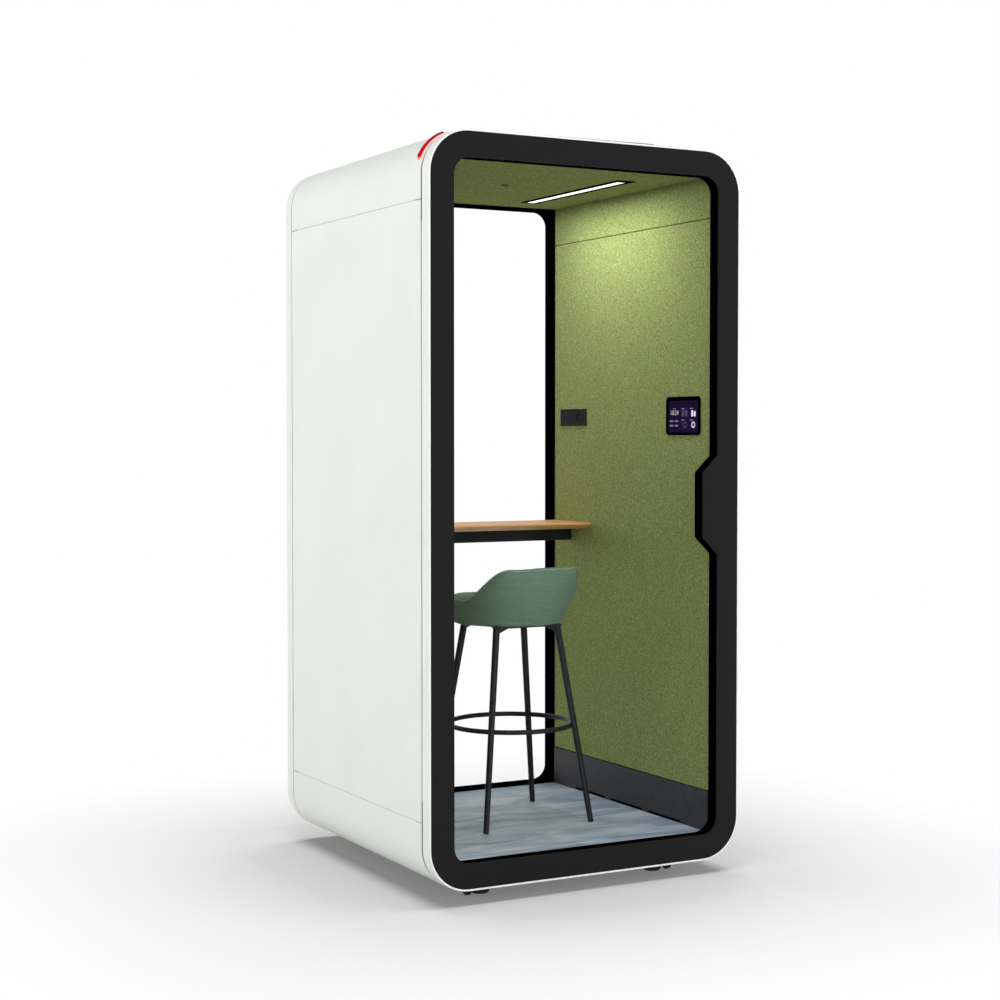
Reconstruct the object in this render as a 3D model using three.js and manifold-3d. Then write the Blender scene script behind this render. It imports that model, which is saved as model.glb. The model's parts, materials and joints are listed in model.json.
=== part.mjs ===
// Acoustic office pod: a one-person booth with a full overlay glass door, a glazed rear wall,
// felt lining, a standing-height desk, ventilation, levelling feet, castors and a bar stool.
// Millimetres, +Z up, front towards -Y, origin on the floor under the middle of the shell.

import * as THREE from 'three';
import { mergeVertices } from 'three/addons/utils/BufferGeometryUtils.js';
import Module from 'manifold-3d';

const wasm = await Module();
wasm.setup();

// Clearances and smoothness
const FIT = 0.3;
const RUNNING_FIT = 0.08;
const ARC_STEPS = 4;
const FILLET_STEPS = 2;
const ROUND_SIDES = 16;
const PIN_SIDES = 12;
const TUNNEL_SIDES = 32;

// Shell
const SHELL_WIDTH = 1100;
const SHELL_HEIGHT = 2241;
const POD_DEPTH = 1096;
const GROUND_GAP = 45;
const SHELL_RADIUS = 133;
const SKIN = 2;
const CORNER_LEG = 205;
const PANEL_SEAM = 2;

// Glazed rings at the front and the rear
const RING_DEPTH = 47;
const SEAM = 7;
const RIM_LIP = 6;
const RIM_CHAMFER = 2;
const BORDER = 76.5;
const BORDER_THICK = 5;
const OPENING_RADIUS = 52;
const GLASS = 8;
const GLASS_GRIP = 10;
const GASKET_WIDTH = 24;
const SEAL_WIDTH = 8;
const SEAL_INSET = 3;

// Grip that widens the door's right stile
const GRIP_DEPTH = 56;
const GRIP_BASE = 312;
const GRIP_FLAT = 206;
const GRIP_RISE = 1127;
const GRIP_FILLET = 14;

// Door hinge, a continuous one in the seam, and the magnetic catch
const HINGE_LENGTH = 1700;
const KNUCKLES = 9;
const KNUCKLE_RADIUS = 3;
const KNUCKLE_GAP = 0.6;
const HINGE_PIN_RADIUS = 1.5;
const LEAF_THICK = 2.4;
const LEAF_WIDTH = 28;
const CATCH_WIDTH = 20;
const CATCH_HEIGHT = 60;
const CATCH_THICK = 2.6;

// Walls, floor and ceiling
const WALL = 74;
const LINING = 12;
const FLOOR_BUILD = 74;
const DECK = 18;
const COVERING = 5;
const PORTAL_DEPTH = 40;
const PORTAL_FLANGE = 4;
const FLANGE_SETBACK = 1;
const FLANGE_RADIUS = 30;
const UPPER_FELT = 130;
const FELT_SEAM = 2;

// Skirting with its row of air slots
const SKIRTING_HEIGHT = 131;
const SKIRTING = 14;
const SLOT_COUNT = 3;
const SLOT_LENGTH = 200;
const SLOT_BRIDGE = 35;
const SLOT_HEIGHT = 9;

// Ceiling light and occupancy sensor
const LIGHT_LENGTH = 604;
const LIGHT_WIDTH = 46;
const LIGHT_X = 292;
const LIGHT_Y = 46;
const LIGHT_FRAME = 10;
const LIGHT_AIR_END = 18;
const LIGHT_DEPTH = 34;
const LIGHT_PROUD = 2;
const DIFFUSER = 5;
const SENSOR_RADIUS = 12;
const SENSOR_NECK = 9;
const SENSOR_PROUD = 6;
const SENSOR_X = -8;
const SENSOR_Y = -16;

// Roof ventilation
const COVER_SIDE_MARGIN = 226;
const COVER_END_MARGIN = 98;
const COVER_HEIGHT = 31;
const COVER_SHEET = 2;
const COVER_SLOT_COUNT = 6;
const COVER_SLOT_LENGTH = 90;
const COVER_SLOT_HEIGHT = 8;
const FAN_SIZE = 120;
const FAN_DEPTH = 38;
const FAN_BORE = 56;
const FAN_HUB = 21;
const FAN_SPIDER = 6;
const FAN_STRUT = 7;
const FAN_STRUTS = 3;
const FAN_BLADES = 7;
const FAN_TIP_GAP = 2.5;
const FAN_PITCH = Math.PI / 5;
const FAN_BLADE_CHORD = 26;
const FAN_BLADE_THICK = 2.5;
const FAN_X = -150;
const GLAND_RADIUS = 13;
const GLAND_STEM = 8;
const GLAND_HEIGHT = 22;
const GLAND_DROP = 10;
const GLAND_BORE = 5;
const GLAND_INSET = 300;
const GLAND_SETBACK = 54;

// Status light in the upper left corner panel
const STATUS_WIDTH = 25;
const STATUS_SETBACK = 10.5;
const STATUS_FROM = 0.61 * Math.PI;
const STATUS_TO = 0.88 * Math.PI;

// Desk
const DESK_HEIGHT = 965;
const DESK_DEPTH = 257;
const DESK_THICK = 22;
const DESK_EDGE = 6;
const DESK_BEVEL = 33;
const BEAM_HEIGHT = 45;
const BEAM_WIDTH = 30;
const BEAM_SETBACK = 137;

// Fittings on the right wall
const POWER_LENGTH = 177;
const POWER_HEIGHT = 60;
const POWER_PROUD = 4;
const POWER_SETBACK = 140;
const POWER_Z = 1337;
const OUTLET_DEPTH = 2.5;
const OUTLET_RADIUS = 19;
const OUTLET_PITCH = 82;
const CHARGER_WIDTH = 40;
const CHARGER_HEIGHT = 14;
const DISPLAY_LENGTH = 194;
const DISPLAY_HEIGHT = 124;
const DISPLAY_RADIUS = 12;
const DISPLAY_PROUD = 4;
const DISPLAY_BEZEL = 7;
const DISPLAY_GLASS = 2;
const DISPLAY_SETBACK = 150;
const DISPLAY_Z = 1334;
const BACK_BOX_MARGIN = 14;

// Chassis rails, levelling feet and castors
const RAIL_WIDTH = 60;
const RAIL_SHEET = 4;
const RAIL_SETBACK = 137;
const FOOT_INSET = 238;
const FOOT_RADIUS = 31;
const FOOT_PAD = 20;
const FOOT_SOLE = 26;
const FOOT_CROWN = 28;
const FOOT_BELLY = [9, 16];
const FOOT_LIFT = 1;
const FOOT_TRAVEL = 12;
const STEM_RADIUS = 6;
const STEM_BOSS = 12;
const STEM_BOSS_LENGTH = 36;
const CASTOR_GAP = 6;
const CASTOR_OFFSET = 10;
const WHEEL_RADIUS = 19;
const WHEEL_WIDTH = 16;
const WHEEL_SIDES = 24;
const AXLE_RADIUS = 3;
const EAR = 3;
const EAR_GAP = 1;
const EAR_WIDTH = 22;
const EAR_TAIL = 7;

// Bar stool
const STOOL_X = 33;
const STOOL_Y = 23;
const STOOL_FOOT_HALF = 195;
const STOOL_TOP_HALF = 113;
const STOOL_LEG_RADIUS = 11.5;
const STOOL_LEG_TIP = 9.3;
const STOOL_GLIDE = 6;
const STOOL_PLATE = 6;
const STOOL_PLATE_RADIUS = 163;
const STOOL_PLATE_SIDES = 40;
const FOOTREST_HEIGHT = 315;
const FOOTREST_RADIUS = 8;
const FOOTREST_BITE = 4;
const FOOTREST_SIDES = 8;
const FOOTREST_STEPS = 36;
const SEAT_UNDERSIDE = 652;
const SEAT_HALF_WIDTH = 228;
const SEAT_HALF_DEPTH = 220;
const SEAT_TAPER = 0.235;
const SEAT_TAPER_POWER = 1.25;
const SEAT_TAPER_HEIGHT = 140;
const SEAT_TURN = Math.PI / 18;
const SEAT_EDGE = 87;
const SEAT_CROWN = 93;
const SEAT_BACK_RISE = 102;
const SEAT_THICK = 30;
const SEAT_WELL = 0.5;
const SEAT_ROUNDING = 8;
const LIP_START = 0.45;
const LIP_CURL = [0.12, 0.16];
const SEAT_WALL_STEPS = 5;
const SEAT_WELL_STEPS = 6;
const ARM_END = 0.53 * Math.PI;
const BACK_START = 0.79 * Math.PI;
const SEAT_STEPS = 40;

// Places worked out from the sizes above
const HALF = SHELL_WIDTH / 2;
const BASE_Z = GROUND_GAP;
const TOP_Z = BASE_Z + SHELL_HEIGHT;
const FRONT_Y = -POD_DEPTH / 2;
const DOOR_BACK = FRONT_Y + RING_DEPTH;
const BODY_FRONT = DOOR_BACK + SEAM;
const BODY_REAR = -BODY_FRONT;
const PORTAL_BACK = BODY_FRONT + PORTAL_DEPTH;
const ROOM_HALF = HALF - WALL;
const ROOM_FLOOR = BASE_Z + FLOOR_BUILD;
const ROOM_CEILING = TOP_Z - WALL;
const DECK_UNDER = ROOM_FLOOR - COVERING - DECK;
const LINING_BACK = ROOM_HALF + LINING;
const LINING_END = BODY_REAR - PORTAL_FLANGE - FIT;
const CEILING_TOP = ROOM_CEILING + LINING;
const ROOF_UNDER = TOP_Z - SKIN - FIT;
const SKIN_INSIDE = SKIN + FIT;
const FELT_FROM = ROOM_FLOOR + SKIRTING_HEIGHT + FELT_SEAM;
const FELT_TO = ROOM_CEILING - UPPER_FELT;
const GRIP_HEIGHT = BASE_Z + GRIP_RISE;
const RAIL_Y = FRONT_Y + RAIL_SETBACK;
const FOOT_X = HALF - FOOT_INSET;
const CASTOR_Y = RAIL_Y - CASTOR_OFFSET;
const CASTOR_HALF = WHEEL_WIDTH / 2 + EAR_GAP + EAR;
const CASTOR_X = FOOT_X + FOOT_RADIUS + CASTOR_GAP + CASTOR_HALF;
const POWER_Y = BODY_REAR - POWER_SETBACK;
const DISPLAY_Y = BODY_FRONT + DISPLAY_SETBACK;
const GLAND_X = HALF - GLAND_INSET;
const GLAND_Y = BODY_REAR - GLAND_SETBACK;
const HINGE_X = -HALF + KNUCKLE_RADIUS;
const HINGE_Y = DOOR_BACK + SEAM / 2;
const HINGE_Z = BASE_Z + SHELL_HEIGHT / 2;

// Finishes
const finish = (color, roughness, metalness = 0, extra = {}) =>
  new THREE.MeshStandardMaterial({ color, roughness, metalness, ...extra });
const WHITE_PAINT = finish(0xe6ebe4, 0.4);
const WHITE_ALUMINIUM = finish(0xeff0ec, 0.35, 0.1);
const DARK_PAINT = finish(0x262626, 0.45);
const BLACK_PAINT = finish(0x0b0b0c, 0.6);
const CLEAR_GLASS = finish(0xeef4f2, 0.05, 0, { transparent: true, opacity: 0.18 });
const RUBBER = finish(0x111112, 0.8);
const STEEL = finish(0x8d9094, 0.35, 0.9);
const GREEN_FELT = finish(0x7d8a4c, 0.95);
const FIBRE_CORE = finish(0xc9c4b4, 0.95);
const GREY_PLASTIC = finish(0x35353a, 0.6);
const PLYWOOD = finish(0xb08d5b, 0.7);
const GREY_VINYL = finish(0x808c98, 0.65);
const OPAL = finish(0xffffff, 0.5, 0, { emissive: 0xffffff });
const BLACK_PLASTIC = finish(0x141416, 0.5);
const RED_LENS = finish(0xd8141a, 0.4, 0, { emissive: 0xd8141a });
const OAK = finish(0xe0aa6e, 0.5);
const SCREEN_GLASS = finish(0x140c2c, 0.1);
const SAGE_FABRIC = finish(0x6a8f78, 0.9);

const pod = new THREE.Group();

function add(name, geometry, material, parent = pod) {
  const mesh = new THREE.Mesh(geometry, material);
  mesh.name = name;
  parent.add(mesh);
}

// Joining and cutting

function solid(geometry) {
  const bare = geometry.clone();
  for (const attribute of Object.keys(bare.attributes)) {
    if (attribute !== 'position') bare.deleteAttribute(attribute);
  }
  const merged = mergeVertices(bare);
  const vertProperties = new Float32Array(merged.attributes.position.array);
  const triVerts = new Uint32Array(merged.index.array);
  return new wasm.Manifold(new wasm.Mesh({ numProp: 3, vertProperties, triVerts }));
}

function geometryOf(manifold) {
  const mesh = manifold.getMesh();
  const geometry = new THREE.BufferGeometry();
  geometry.setAttribute('position', new THREE.BufferAttribute(mesh.vertProperties, 3));
  geometry.setIndex(new THREE.BufferAttribute(mesh.triVerts, 1));
  geometry.computeVertexNormals();
  return geometry;
}

function join(first, ...others) {
  return geometryOf(others.reduce((whole, other) => whole.add(solid(other)), solid(first)));
}

function cut(first, ...tools) {
  return geometryOf(tools.reduce((whole, tool) => whole.subtract(solid(tool)), solid(first)));
}

// Basic shapes

const ALONG_X = new THREE.Matrix4().makeBasis(
  new THREE.Vector3(0, 1, 0), new THREE.Vector3(0, 0, 1), new THREE.Vector3(1, 0, 0));
const ALONG_Y = new THREE.Matrix4().makeBasis(
  new THREE.Vector3(1, 0, 0), new THREE.Vector3(0, 0, 1), new THREE.Vector3(0, -1, 0));

function box(x0, x1, y0, y1, z0, z1) {
  const geometry = new THREE.BoxGeometry(x1 - x0, y1 - y0, z1 - z0);
  return geometry.translate((x0 + x1) / 2, (y0 + y1) / 2, (z0 + z1) / 2);
}

// A closed outline through corners given as [u, v, fillet radius].
function outline(corners) {
  const path = new THREE.Shape();
  corners.forEach(([u, v, radius = 0], i) => {
    const corner = new THREE.Vector2(u, v);
    const back = new THREE.Vector2(...corners.at(i - 1)).sub(corner).normalize();
    const onward = new THREE.Vector2(...corners[(i + 1) % corners.length]).sub(corner).normalize();
    if (radius === 0) {
      if (i === 0) path.moveTo(u, v);
      else path.lineTo(u, v);
      return;
    }
    const halfAngle = Math.acos(THREE.MathUtils.clamp(back.dot(onward), -1, 1)) / 2;
    const tangent = radius / Math.tan(halfAngle);
    const centre = back.clone().add(onward).normalize();
    centre.multiplyScalar(radius / Math.sin(halfAngle)).add(corner);
    const start = back.clone().multiplyScalar(tangent).add(corner).sub(centre).angle();
    const end = onward.clone().multiplyScalar(tangent).add(corner).sub(centre).angle();
    path.absarc(centre.x, centre.y, radius, start, end, back.cross(onward) > 0);
  });
  path.closePath();
  return path;
}

function rectangle(u0, u1, v0, v1, radius = 0) {
  return outline([[u0, v0, radius], [u1, v0, radius], [u1, v1, radius], [u0, v1, radius]]);
}

function withHole(shape, hole) {
  shape.holes.push(hole);
  return shape;
}

function extrude(shape, depth, steps = ARC_STEPS) {
  return new THREE.ExtrudeGeometry(shape, { depth, bevelEnabled: false, curveSegments: steps });
}

function slabX(shape, x0, x1, steps) {
  return extrude(shape, x1 - x0, steps).applyMatrix4(ALONG_X).translate(x0, 0, 0);
}

function slabY(shape, y0, y1, steps) {
  return extrude(shape, y1 - y0, steps).applyMatrix4(ALONG_Y).translate(0, y1, 0);
}

// The radius of a faceted bore whose flats lie the given distance from its axis.
const boreRadius = (clear, sides) => clear / Math.cos(Math.PI / sides);

function discZ(radius, x, y, z0, z1, sides = ROUND_SIDES) {
  const geometry = new THREE.CylinderGeometry(radius, radius, z1 - z0, sides);
  return geometry.rotateX(Math.PI / 2).translate(x, y, (z0 + z1) / 2);
}

function discX(radius, x0, x1, y, z, sides = ROUND_SIDES) {
  const geometry = new THREE.CylinderGeometry(radius, radius, x1 - x0, sides);
  return geometry.rotateZ(Math.PI / 2).translate((x0 + x1) / 2, y, z);
}

function rod(from, to, radius, tipRadius, sides) {
  const run = new THREE.Vector3().subVectors(to, from);
  const geometry = new THREE.CylinderGeometry(tipRadius, radius, run.length(), sides);
  const upright = new THREE.Vector3(0, 1, 0);
  const turn = new THREE.Quaternion().setFromUnitVectors(upright, run.clone().normalize());
  const middle = new THREE.Vector3().addVectors(from, to).multiplyScalar(0.5);
  return geometry.applyQuaternion(turn).translate(middle.x, middle.y, middle.z);
}

function turned(profile, x, y, steps = ROUND_SIDES) {
  const points = profile.map(([radius, z]) => new THREE.Vector2(radius, z));
  return new THREE.LatheGeometry(points, steps).rotateX(Math.PI / 2).translate(x, y, 0);
}

// Outlines shared by the shell, the rings and the lining

const shellOutline = (inset) => rectangle(
  -HALF + inset, HALF - inset, BASE_Z + inset, TOP_Z - inset, SHELL_RADIUS - inset);

const OPENING_INSET = RIM_LIP + BORDER;
const OPENING_HALF = HALF - OPENING_INSET;
const OPENING_FLOOR = BASE_Z + OPENING_INSET;
const OPENING_TOP = TOP_Z - OPENING_INSET;

const openingOutline = (grow = 0) => rectangle(
  -OPENING_HALF - grow, OPENING_HALF + grow,
  OPENING_FLOOR - grow, OPENING_TOP + grow, OPENING_RADIUS + grow);

function gripOutline() {
  const inner = OPENING_HALF - GRIP_DEPTH;
  return outline([
    [-OPENING_HALF, OPENING_FLOOR, OPENING_RADIUS],
    [OPENING_HALF, OPENING_FLOOR, OPENING_RADIUS],
    [OPENING_HALF, GRIP_HEIGHT - GRIP_BASE / 2, GRIP_FILLET],
    [inner, GRIP_HEIGHT - GRIP_FLAT / 2, GRIP_FILLET],
    [inner, GRIP_HEIGHT + GRIP_FLAT / 2, GRIP_FILLET],
    [OPENING_HALF, GRIP_HEIGHT + GRIP_BASE / 2, GRIP_FILLET],
    [OPENING_HALF, OPENING_TOP, OPENING_RADIUS],
    [-OPENING_HALF, OPENING_TOP, OPENING_RADIUS],
  ]);
}

const roomOutline = (grow) => rectangle(
  -ROOM_HALF - grow, ROOM_HALF + grow,
  ROOM_FLOOR - grow, ROOM_CEILING + grow, FLANGE_RADIUS + grow);

// The ring's chamfered outer rim, with the dark frame and the pane that it holds.
// The outer face looks along -Y (side -1, the door) or +Y (side 1, the rear wall).
function glazedRing(prefix, side, opening, frameFront) {
  const innerFace = side * -DOOR_BACK;
  const rim = new THREE.ExtrudeGeometry(withHole(shellOutline(0), shellOutline(RIM_LIP)), {
    depth: RING_DEPTH - 2 * RIM_CHAMFER,
    bevelSize: RIM_CHAMFER,
    bevelThickness: RIM_CHAMFER,
    bevelOffset: -RIM_CHAMFER,
    bevelSegments: 1,
    curveSegments: ARC_STEPS,
  });
  rim.applyMatrix4(ALONG_Y).translate(0, Math.max(innerFace, side * -FRONT_Y) - RIM_CHAMFER, 0);
  add(`${prefix}_rim`, rim, WHITE_ALUMINIUM);

  const frameShape = withHole(shellOutline(RIM_LIP + FIT), opening());
  const frame = slabY(frameShape, Math.min(frameFront, innerFace), Math.max(frameFront, innerFace));
  const paneMiddle = side * (-FRONT_Y - RING_DEPTH / 2);
  const grooveHalf = GLASS / 2 + FIT;
  const groove = slabY(openingOutline(GLASS_GRIP), paneMiddle - grooveHalf, paneMiddle + grooveHalf);
  add(`${prefix}_frame`, cut(frame, groove), BLACK_PAINT);

  const pane = slabY(openingOutline(GLASS_GRIP - FIT), paneMiddle - GLASS / 2, paneMiddle + GLASS / 2);
  add(`${prefix}_glass`, pane, CLEAR_GLASS);
}

function door() {
  const borderBack = FRONT_Y + BORDER_THICK;
  glazedRing('door', -1, gripOutline, borderBack + FIT);
  const borderShape = withHole(shellOutline(RIM_LIP + FIT), gripOutline());
  add('door_border', slabY(borderShape, FRONT_Y, borderBack), DARK_PAINT);
  const sealShape = withHole(roomOutline(SEAL_INSET + SEAL_WIDTH), roomOutline(SEAL_INSET));
  add('door_seal', slabY(sealShape, DOOR_BACK + FIT, BODY_FRONT - FIT), RUBBER);
}

function rearWall() {
  glazedRing('rear', 1, openingOutline, -FRONT_Y);
  const gasketShape = withHole(roomOutline(SEAL_INSET + GASKET_WIDTH), roomOutline(SEAL_INSET));
  add('rear_gasket', slabY(gasketShape, BODY_REAR + FIT, -DOOR_BACK - FIT), RUBBER);
}

// A leaf carries every other knuckle. The door leaf takes the odd ones, the body leaf the even ones.
function hingeLeaf(name, parity, plateFrom, plateTo, material) {
  const pitch = HINGE_LENGTH / KNUCKLES;
  const foot = HINGE_Z - HINGE_LENGTH / 2;
  const plateEdge = HINGE_X + KNUCKLE_RADIUS + KNUCKLE_GAP;
  const head = foot + HINGE_LENGTH;
  const pieces = [box(plateEdge, plateEdge + LEAF_WIDTH, plateFrom, plateTo, foot, head)];
  for (let i = parity; i < KNUCKLES; i += 2) {
    const z0 = foot + i * pitch + KNUCKLE_GAP / 2;
    const z1 = z0 + pitch - KNUCKLE_GAP;
    pieces.push(box(HINGE_X, plateEdge + KNUCKLE_GAP, plateFrom, plateTo, z0, z1));
    pieces.push(discZ(KNUCKLE_RADIUS, HINGE_X, HINGE_Y, z0, z1));
  }
  const clear = boreRadius(HINGE_PIN_RADIUS + RUNNING_FIT, PIN_SIDES);
  const bore = discZ(clear, HINGE_X, HINGE_Y, foot - KNUCKLE_GAP, head + KNUCKLE_GAP, PIN_SIDES);
  add(name, cut(join(...pieces), bore), material);
}

function doorHinge() {
  hingeLeaf('door_hinge_leaf', 1, DOOR_BACK + FIT, DOOR_BACK + FIT + LEAF_THICK, STEEL);
  hingeLeaf('body_hinge_leaf', 0, BODY_FRONT - FIT - LEAF_THICK, BODY_FRONT - FIT, STEEL);
  const half = HINGE_LENGTH / 2;
  const pin = discZ(HINGE_PIN_RADIUS, HINGE_X, HINGE_Y, HINGE_Z - half, HINGE_Z + half, PIN_SIDES);
  add('hinge_pin', pin, STEEL);
}

function doorCatch() {
  const x0 = LINING_BACK + SEAL_WIDTH;
  const x1 = x0 + CATCH_WIDTH;
  const z0 = GRIP_HEIGHT - CATCH_HEIGHT / 2;
  const z1 = GRIP_HEIGHT + CATCH_HEIGHT / 2;
  add('door_magnet', box(x0, x1, DOOR_BACK + FIT, DOOR_BACK + FIT + CATCH_THICK, z0, z1), STEEL);
  add('strike_plate', box(x0, x1, BODY_FRONT - FIT - CATCH_THICK, BODY_FRONT - FIT, z0, z1), STEEL);
}

// Outer skin

function cornerShape(side, zBase, rise) {
  const outer = side * HALF;
  const skin = side * (HALF - SKIN);
  const leg = side * (HALF - CORNER_LEG);
  const top = zBase + rise * CORNER_LEG;
  return outline([
    [leg, zBase],
    [outer, zBase, SHELL_RADIUS],
    [outer, top],
    [skin, top],
    [skin, zBase + rise * SKIN, SHELL_RADIUS - SKIN],
    [leg, zBase + rise * SKIN],
  ]);
}

function statusSector(inner, outer, spare) {
  const x = -HALF + SHELL_RADIUS;
  const z = TOP_Z - SHELL_RADIUS;
  const from = STATUS_FROM - spare / SHELL_RADIUS;
  const to = STATUS_TO + spare / SHELL_RADIUS;
  const sector = new THREE.Shape();
  sector.absarc(x, z, outer, from, to, false);
  sector.absarc(x, z, inner, to, from, true);
  sector.closePath();
  const y0 = BODY_FRONT + STATUS_SETBACK - spare;
  return slabY(sector, y0, y0 + STATUS_WIDTH + 2 * spare);
}

// Slots through the underside for the castor ears and the tops of their wheels
function castorSlots(side) {
  const across = CASTOR_HALF + FIT;
  const along = WHEEL_RADIUS + EAR_GAP;
  return [-1, 1].map((end) => box(
    side * CASTOR_X - across, side * CASTOR_X + across,
    end * -CASTOR_Y - along, end * -CASTOR_Y + along,
    BASE_Z - SKIN, BASE_Z + 2 * SKIN));
}

function lowerCorner(name, side) {
  const panel = slabY(cornerShape(side, BASE_Z, 1), BODY_FRONT, BODY_REAR);
  add(name, cut(panel, ...castorSlots(side)), WHITE_PAINT);
}

function outerSkin() {
  lowerCorner('lower_corner_left', -1);
  lowerCorner('lower_corner_right', 1);

  const upperLeft = slabY(cornerShape(-1, TOP_Z, -1), BODY_FRONT, BODY_REAR);
  const pocket = statusSector(SHELL_RADIUS - 2 * SKIN, SHELL_RADIUS + SKIN, FIT);
  add('upper_corner_left', cut(upperLeft, pocket), WHITE_PAINT);
  add('upper_corner_right', slabY(cornerShape(1, TOP_Z, -1), BODY_FRONT, BODY_REAR), WHITE_PAINT);
  add('status_light', statusSector(SHELL_RADIUS - SKIN, SHELL_RADIUS + FIT, 0), RED_LENS);

  const sideFrom = BASE_Z + CORNER_LEG + PANEL_SEAM;
  const sideTo = TOP_Z - CORNER_LEG - PANEL_SEAM;
  add('side_panel_left', box(-HALF, -HALF + SKIN, BODY_FRONT, BODY_REAR, sideFrom, sideTo), WHITE_PAINT);
  add('side_panel_right', box(HALF - SKIN, HALF, BODY_FRONT, BODY_REAR, sideFrom, sideTo), WHITE_PAINT);

  const flatHalf = HALF - CORNER_LEG - PANEL_SEAM;
  const roof = box(-flatHalf, flatHalf, BODY_FRONT, BODY_REAR, TOP_Z - SKIN, TOP_Z);
  const fanHole = discZ(FAN_BORE, FAN_X, 0, TOP_Z - 2 * SKIN, TOP_Z + SKIN);
  const glandHole = discZ(GLAND_STEM + SKIN, GLAND_X, GLAND_Y, TOP_Z - 2 * SKIN, TOP_Z + SKIN);
  add('roof_panel', cut(roof, fanHole, glandHole), WHITE_PAINT);

  const pan = box(-flatHalf, flatHalf, BODY_FRONT, BODY_REAR, BASE_Z, BASE_Z + SKIN);
  const stemHoles = eachFoot((x, y) => discZ(STEM_BOSS + FIT, x, y, BASE_Z - SKIN, BASE_Z + 2 * SKIN));
  add('base_pan', cut(pan, ...stemHoles, ...castorSlots(-1), ...castorSlots(1)), BLACK_PAINT);
}

// Structure and lining

function portal(name, side) {
  const face = side * BODY_REAR;
  const flangeBack = face - side * PORTAL_FLANGE;
  const back = side * -PORTAL_BACK;
  const beyond = back - side * SKIN;
  const ringShape = withHole(shellOutline(SKIN_INSIDE), roomOutline(FLANGE_SETBACK));
  const ring = slabY(ringShape, Math.min(face, back), Math.max(face, back));
  const room = box(-LINING_BACK - FIT, LINING_BACK + FIT,
    Math.min(flangeBack, beyond), Math.max(flangeBack, beyond), DECK_UNDER - FIT, CEILING_TOP + FIT);
  add(name, cut(ring, room), BLACK_PAINT);
}

function insulation() {
  const y = -PORTAL_BACK - FIT;
  const z0 = BASE_Z + SHELL_RADIUS;
  const z1 = TOP_Z - SHELL_RADIUS;
  const inner = LINING_BACK + FIT;
  const outer = HALF - SKIN_INSIDE;
  add('insulation_left', box(-outer, -inner, -y, y, z0, z1), FIBRE_CORE);
  add('insulation_right', box(inner, outer, -y, y, z0, z1), FIBRE_CORE);
}

function fittingHole(y, z, length, height) {
  const halfLength = length / 2 - BACK_BOX_MARGIN + FIT;
  const halfHeight = height / 2 - BACK_BOX_MARGIN + FIT;
  const zMiddle = ROOM_FLOOR + z;
  return box(ROOM_HALF - LINING, LINING_BACK + LINING, y - halfLength, y + halfLength,
    zMiddle - halfHeight, zMiddle + halfHeight);
}

function wallLining(suffix, side) {
  const x0 = Math.min(side * ROOM_HALF, side * LINING_BACK);
  const x1 = Math.max(side * ROOM_HALF, side * LINING_BACK);
  const wall = box(x0, x1, -LINING_END, LINING_END, FELT_FROM, FELT_TO - FELT_SEAM);
  const holes = side < 0 ? [] : [
    fittingHole(POWER_Y, POWER_Z, POWER_LENGTH, POWER_HEIGHT),
    fittingHole(DISPLAY_Y, DISPLAY_Z, DISPLAY_LENGTH, DISPLAY_HEIGHT),
  ];
  add(`wall_felt_${suffix}`, cut(wall, ...holes), GREEN_FELT);
  const upper = box(x0, x1, -LINING_END, LINING_END, FELT_TO, ROOM_CEILING - FIT);
  add(`upper_felt_${suffix}`, upper, GREEN_FELT);

  const face = side * (LINING_BACK - SKIRTING);
  const inner = Math.min(face, side * LINING_BACK);
  const outer = Math.max(face, side * LINING_BACK);
  const board = box(inner, outer, -LINING_END, LINING_END, ROOM_FLOOR + FIT, ROOM_FLOOR + SKIRTING_HEIGHT);
  const pitch = SLOT_LENGTH + SLOT_BRIDGE;
  const slots = Array.from({ length: SLOT_COUNT }, (_, i) => {
    const y = (i - (SLOT_COUNT - 1) / 2) * pitch;
    return box(inner - SKIN, outer + SKIN, y - SLOT_LENGTH / 2, y + SLOT_LENGTH / 2,
      ROOM_FLOOR - SLOT_HEIGHT, ROOM_FLOOR + SLOT_HEIGHT);
  });
  add(`skirting_${suffix}`, cut(board, ...slots), GREY_PLASTIC);
}

function floorAndCeiling() {
  const layer = (z0, z1) => box(-LINING_BACK, LINING_BACK, -LINING_END, LINING_END, z0, z1);
  add('floor_deck', layer(DECK_UNDER, DECK_UNDER + DECK - FIT), PLYWOOD);
  add('floor_covering', layer(ROOM_FLOOR - COVERING, ROOM_FLOOR), GREY_VINYL);
  const sensorHole = discZ(SENSOR_NECK + SKIN, SENSOR_X, SENSOR_Y, ROOM_CEILING - SKIN, CEILING_TOP + SKIN);
  const ceiling = layer(ROOM_CEILING, CEILING_TOP);
  add('ceiling_felt', cut(ceiling, lightEnvelope(FIT), sensorHole), GREEN_FELT);
}

// Ceiling light: a black tray with an opal strip, and an air outlet in its longer front end

function lightEnvelope(spare) {
  const half = LIGHT_WIDTH / 2 + LIGHT_FRAME + spare;
  const front = LIGHT_Y - LIGHT_LENGTH / 2 - LIGHT_FRAME - LIGHT_AIR_END - spare;
  const back = LIGHT_Y + LIGHT_LENGTH / 2 + LIGHT_FRAME + spare;
  return box(LIGHT_X - half, LIGHT_X + half, front, back,
    ROOM_CEILING - LIGHT_PROUD, ROOM_CEILING - LIGHT_PROUD + LIGHT_DEPTH + spare);
}

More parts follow.
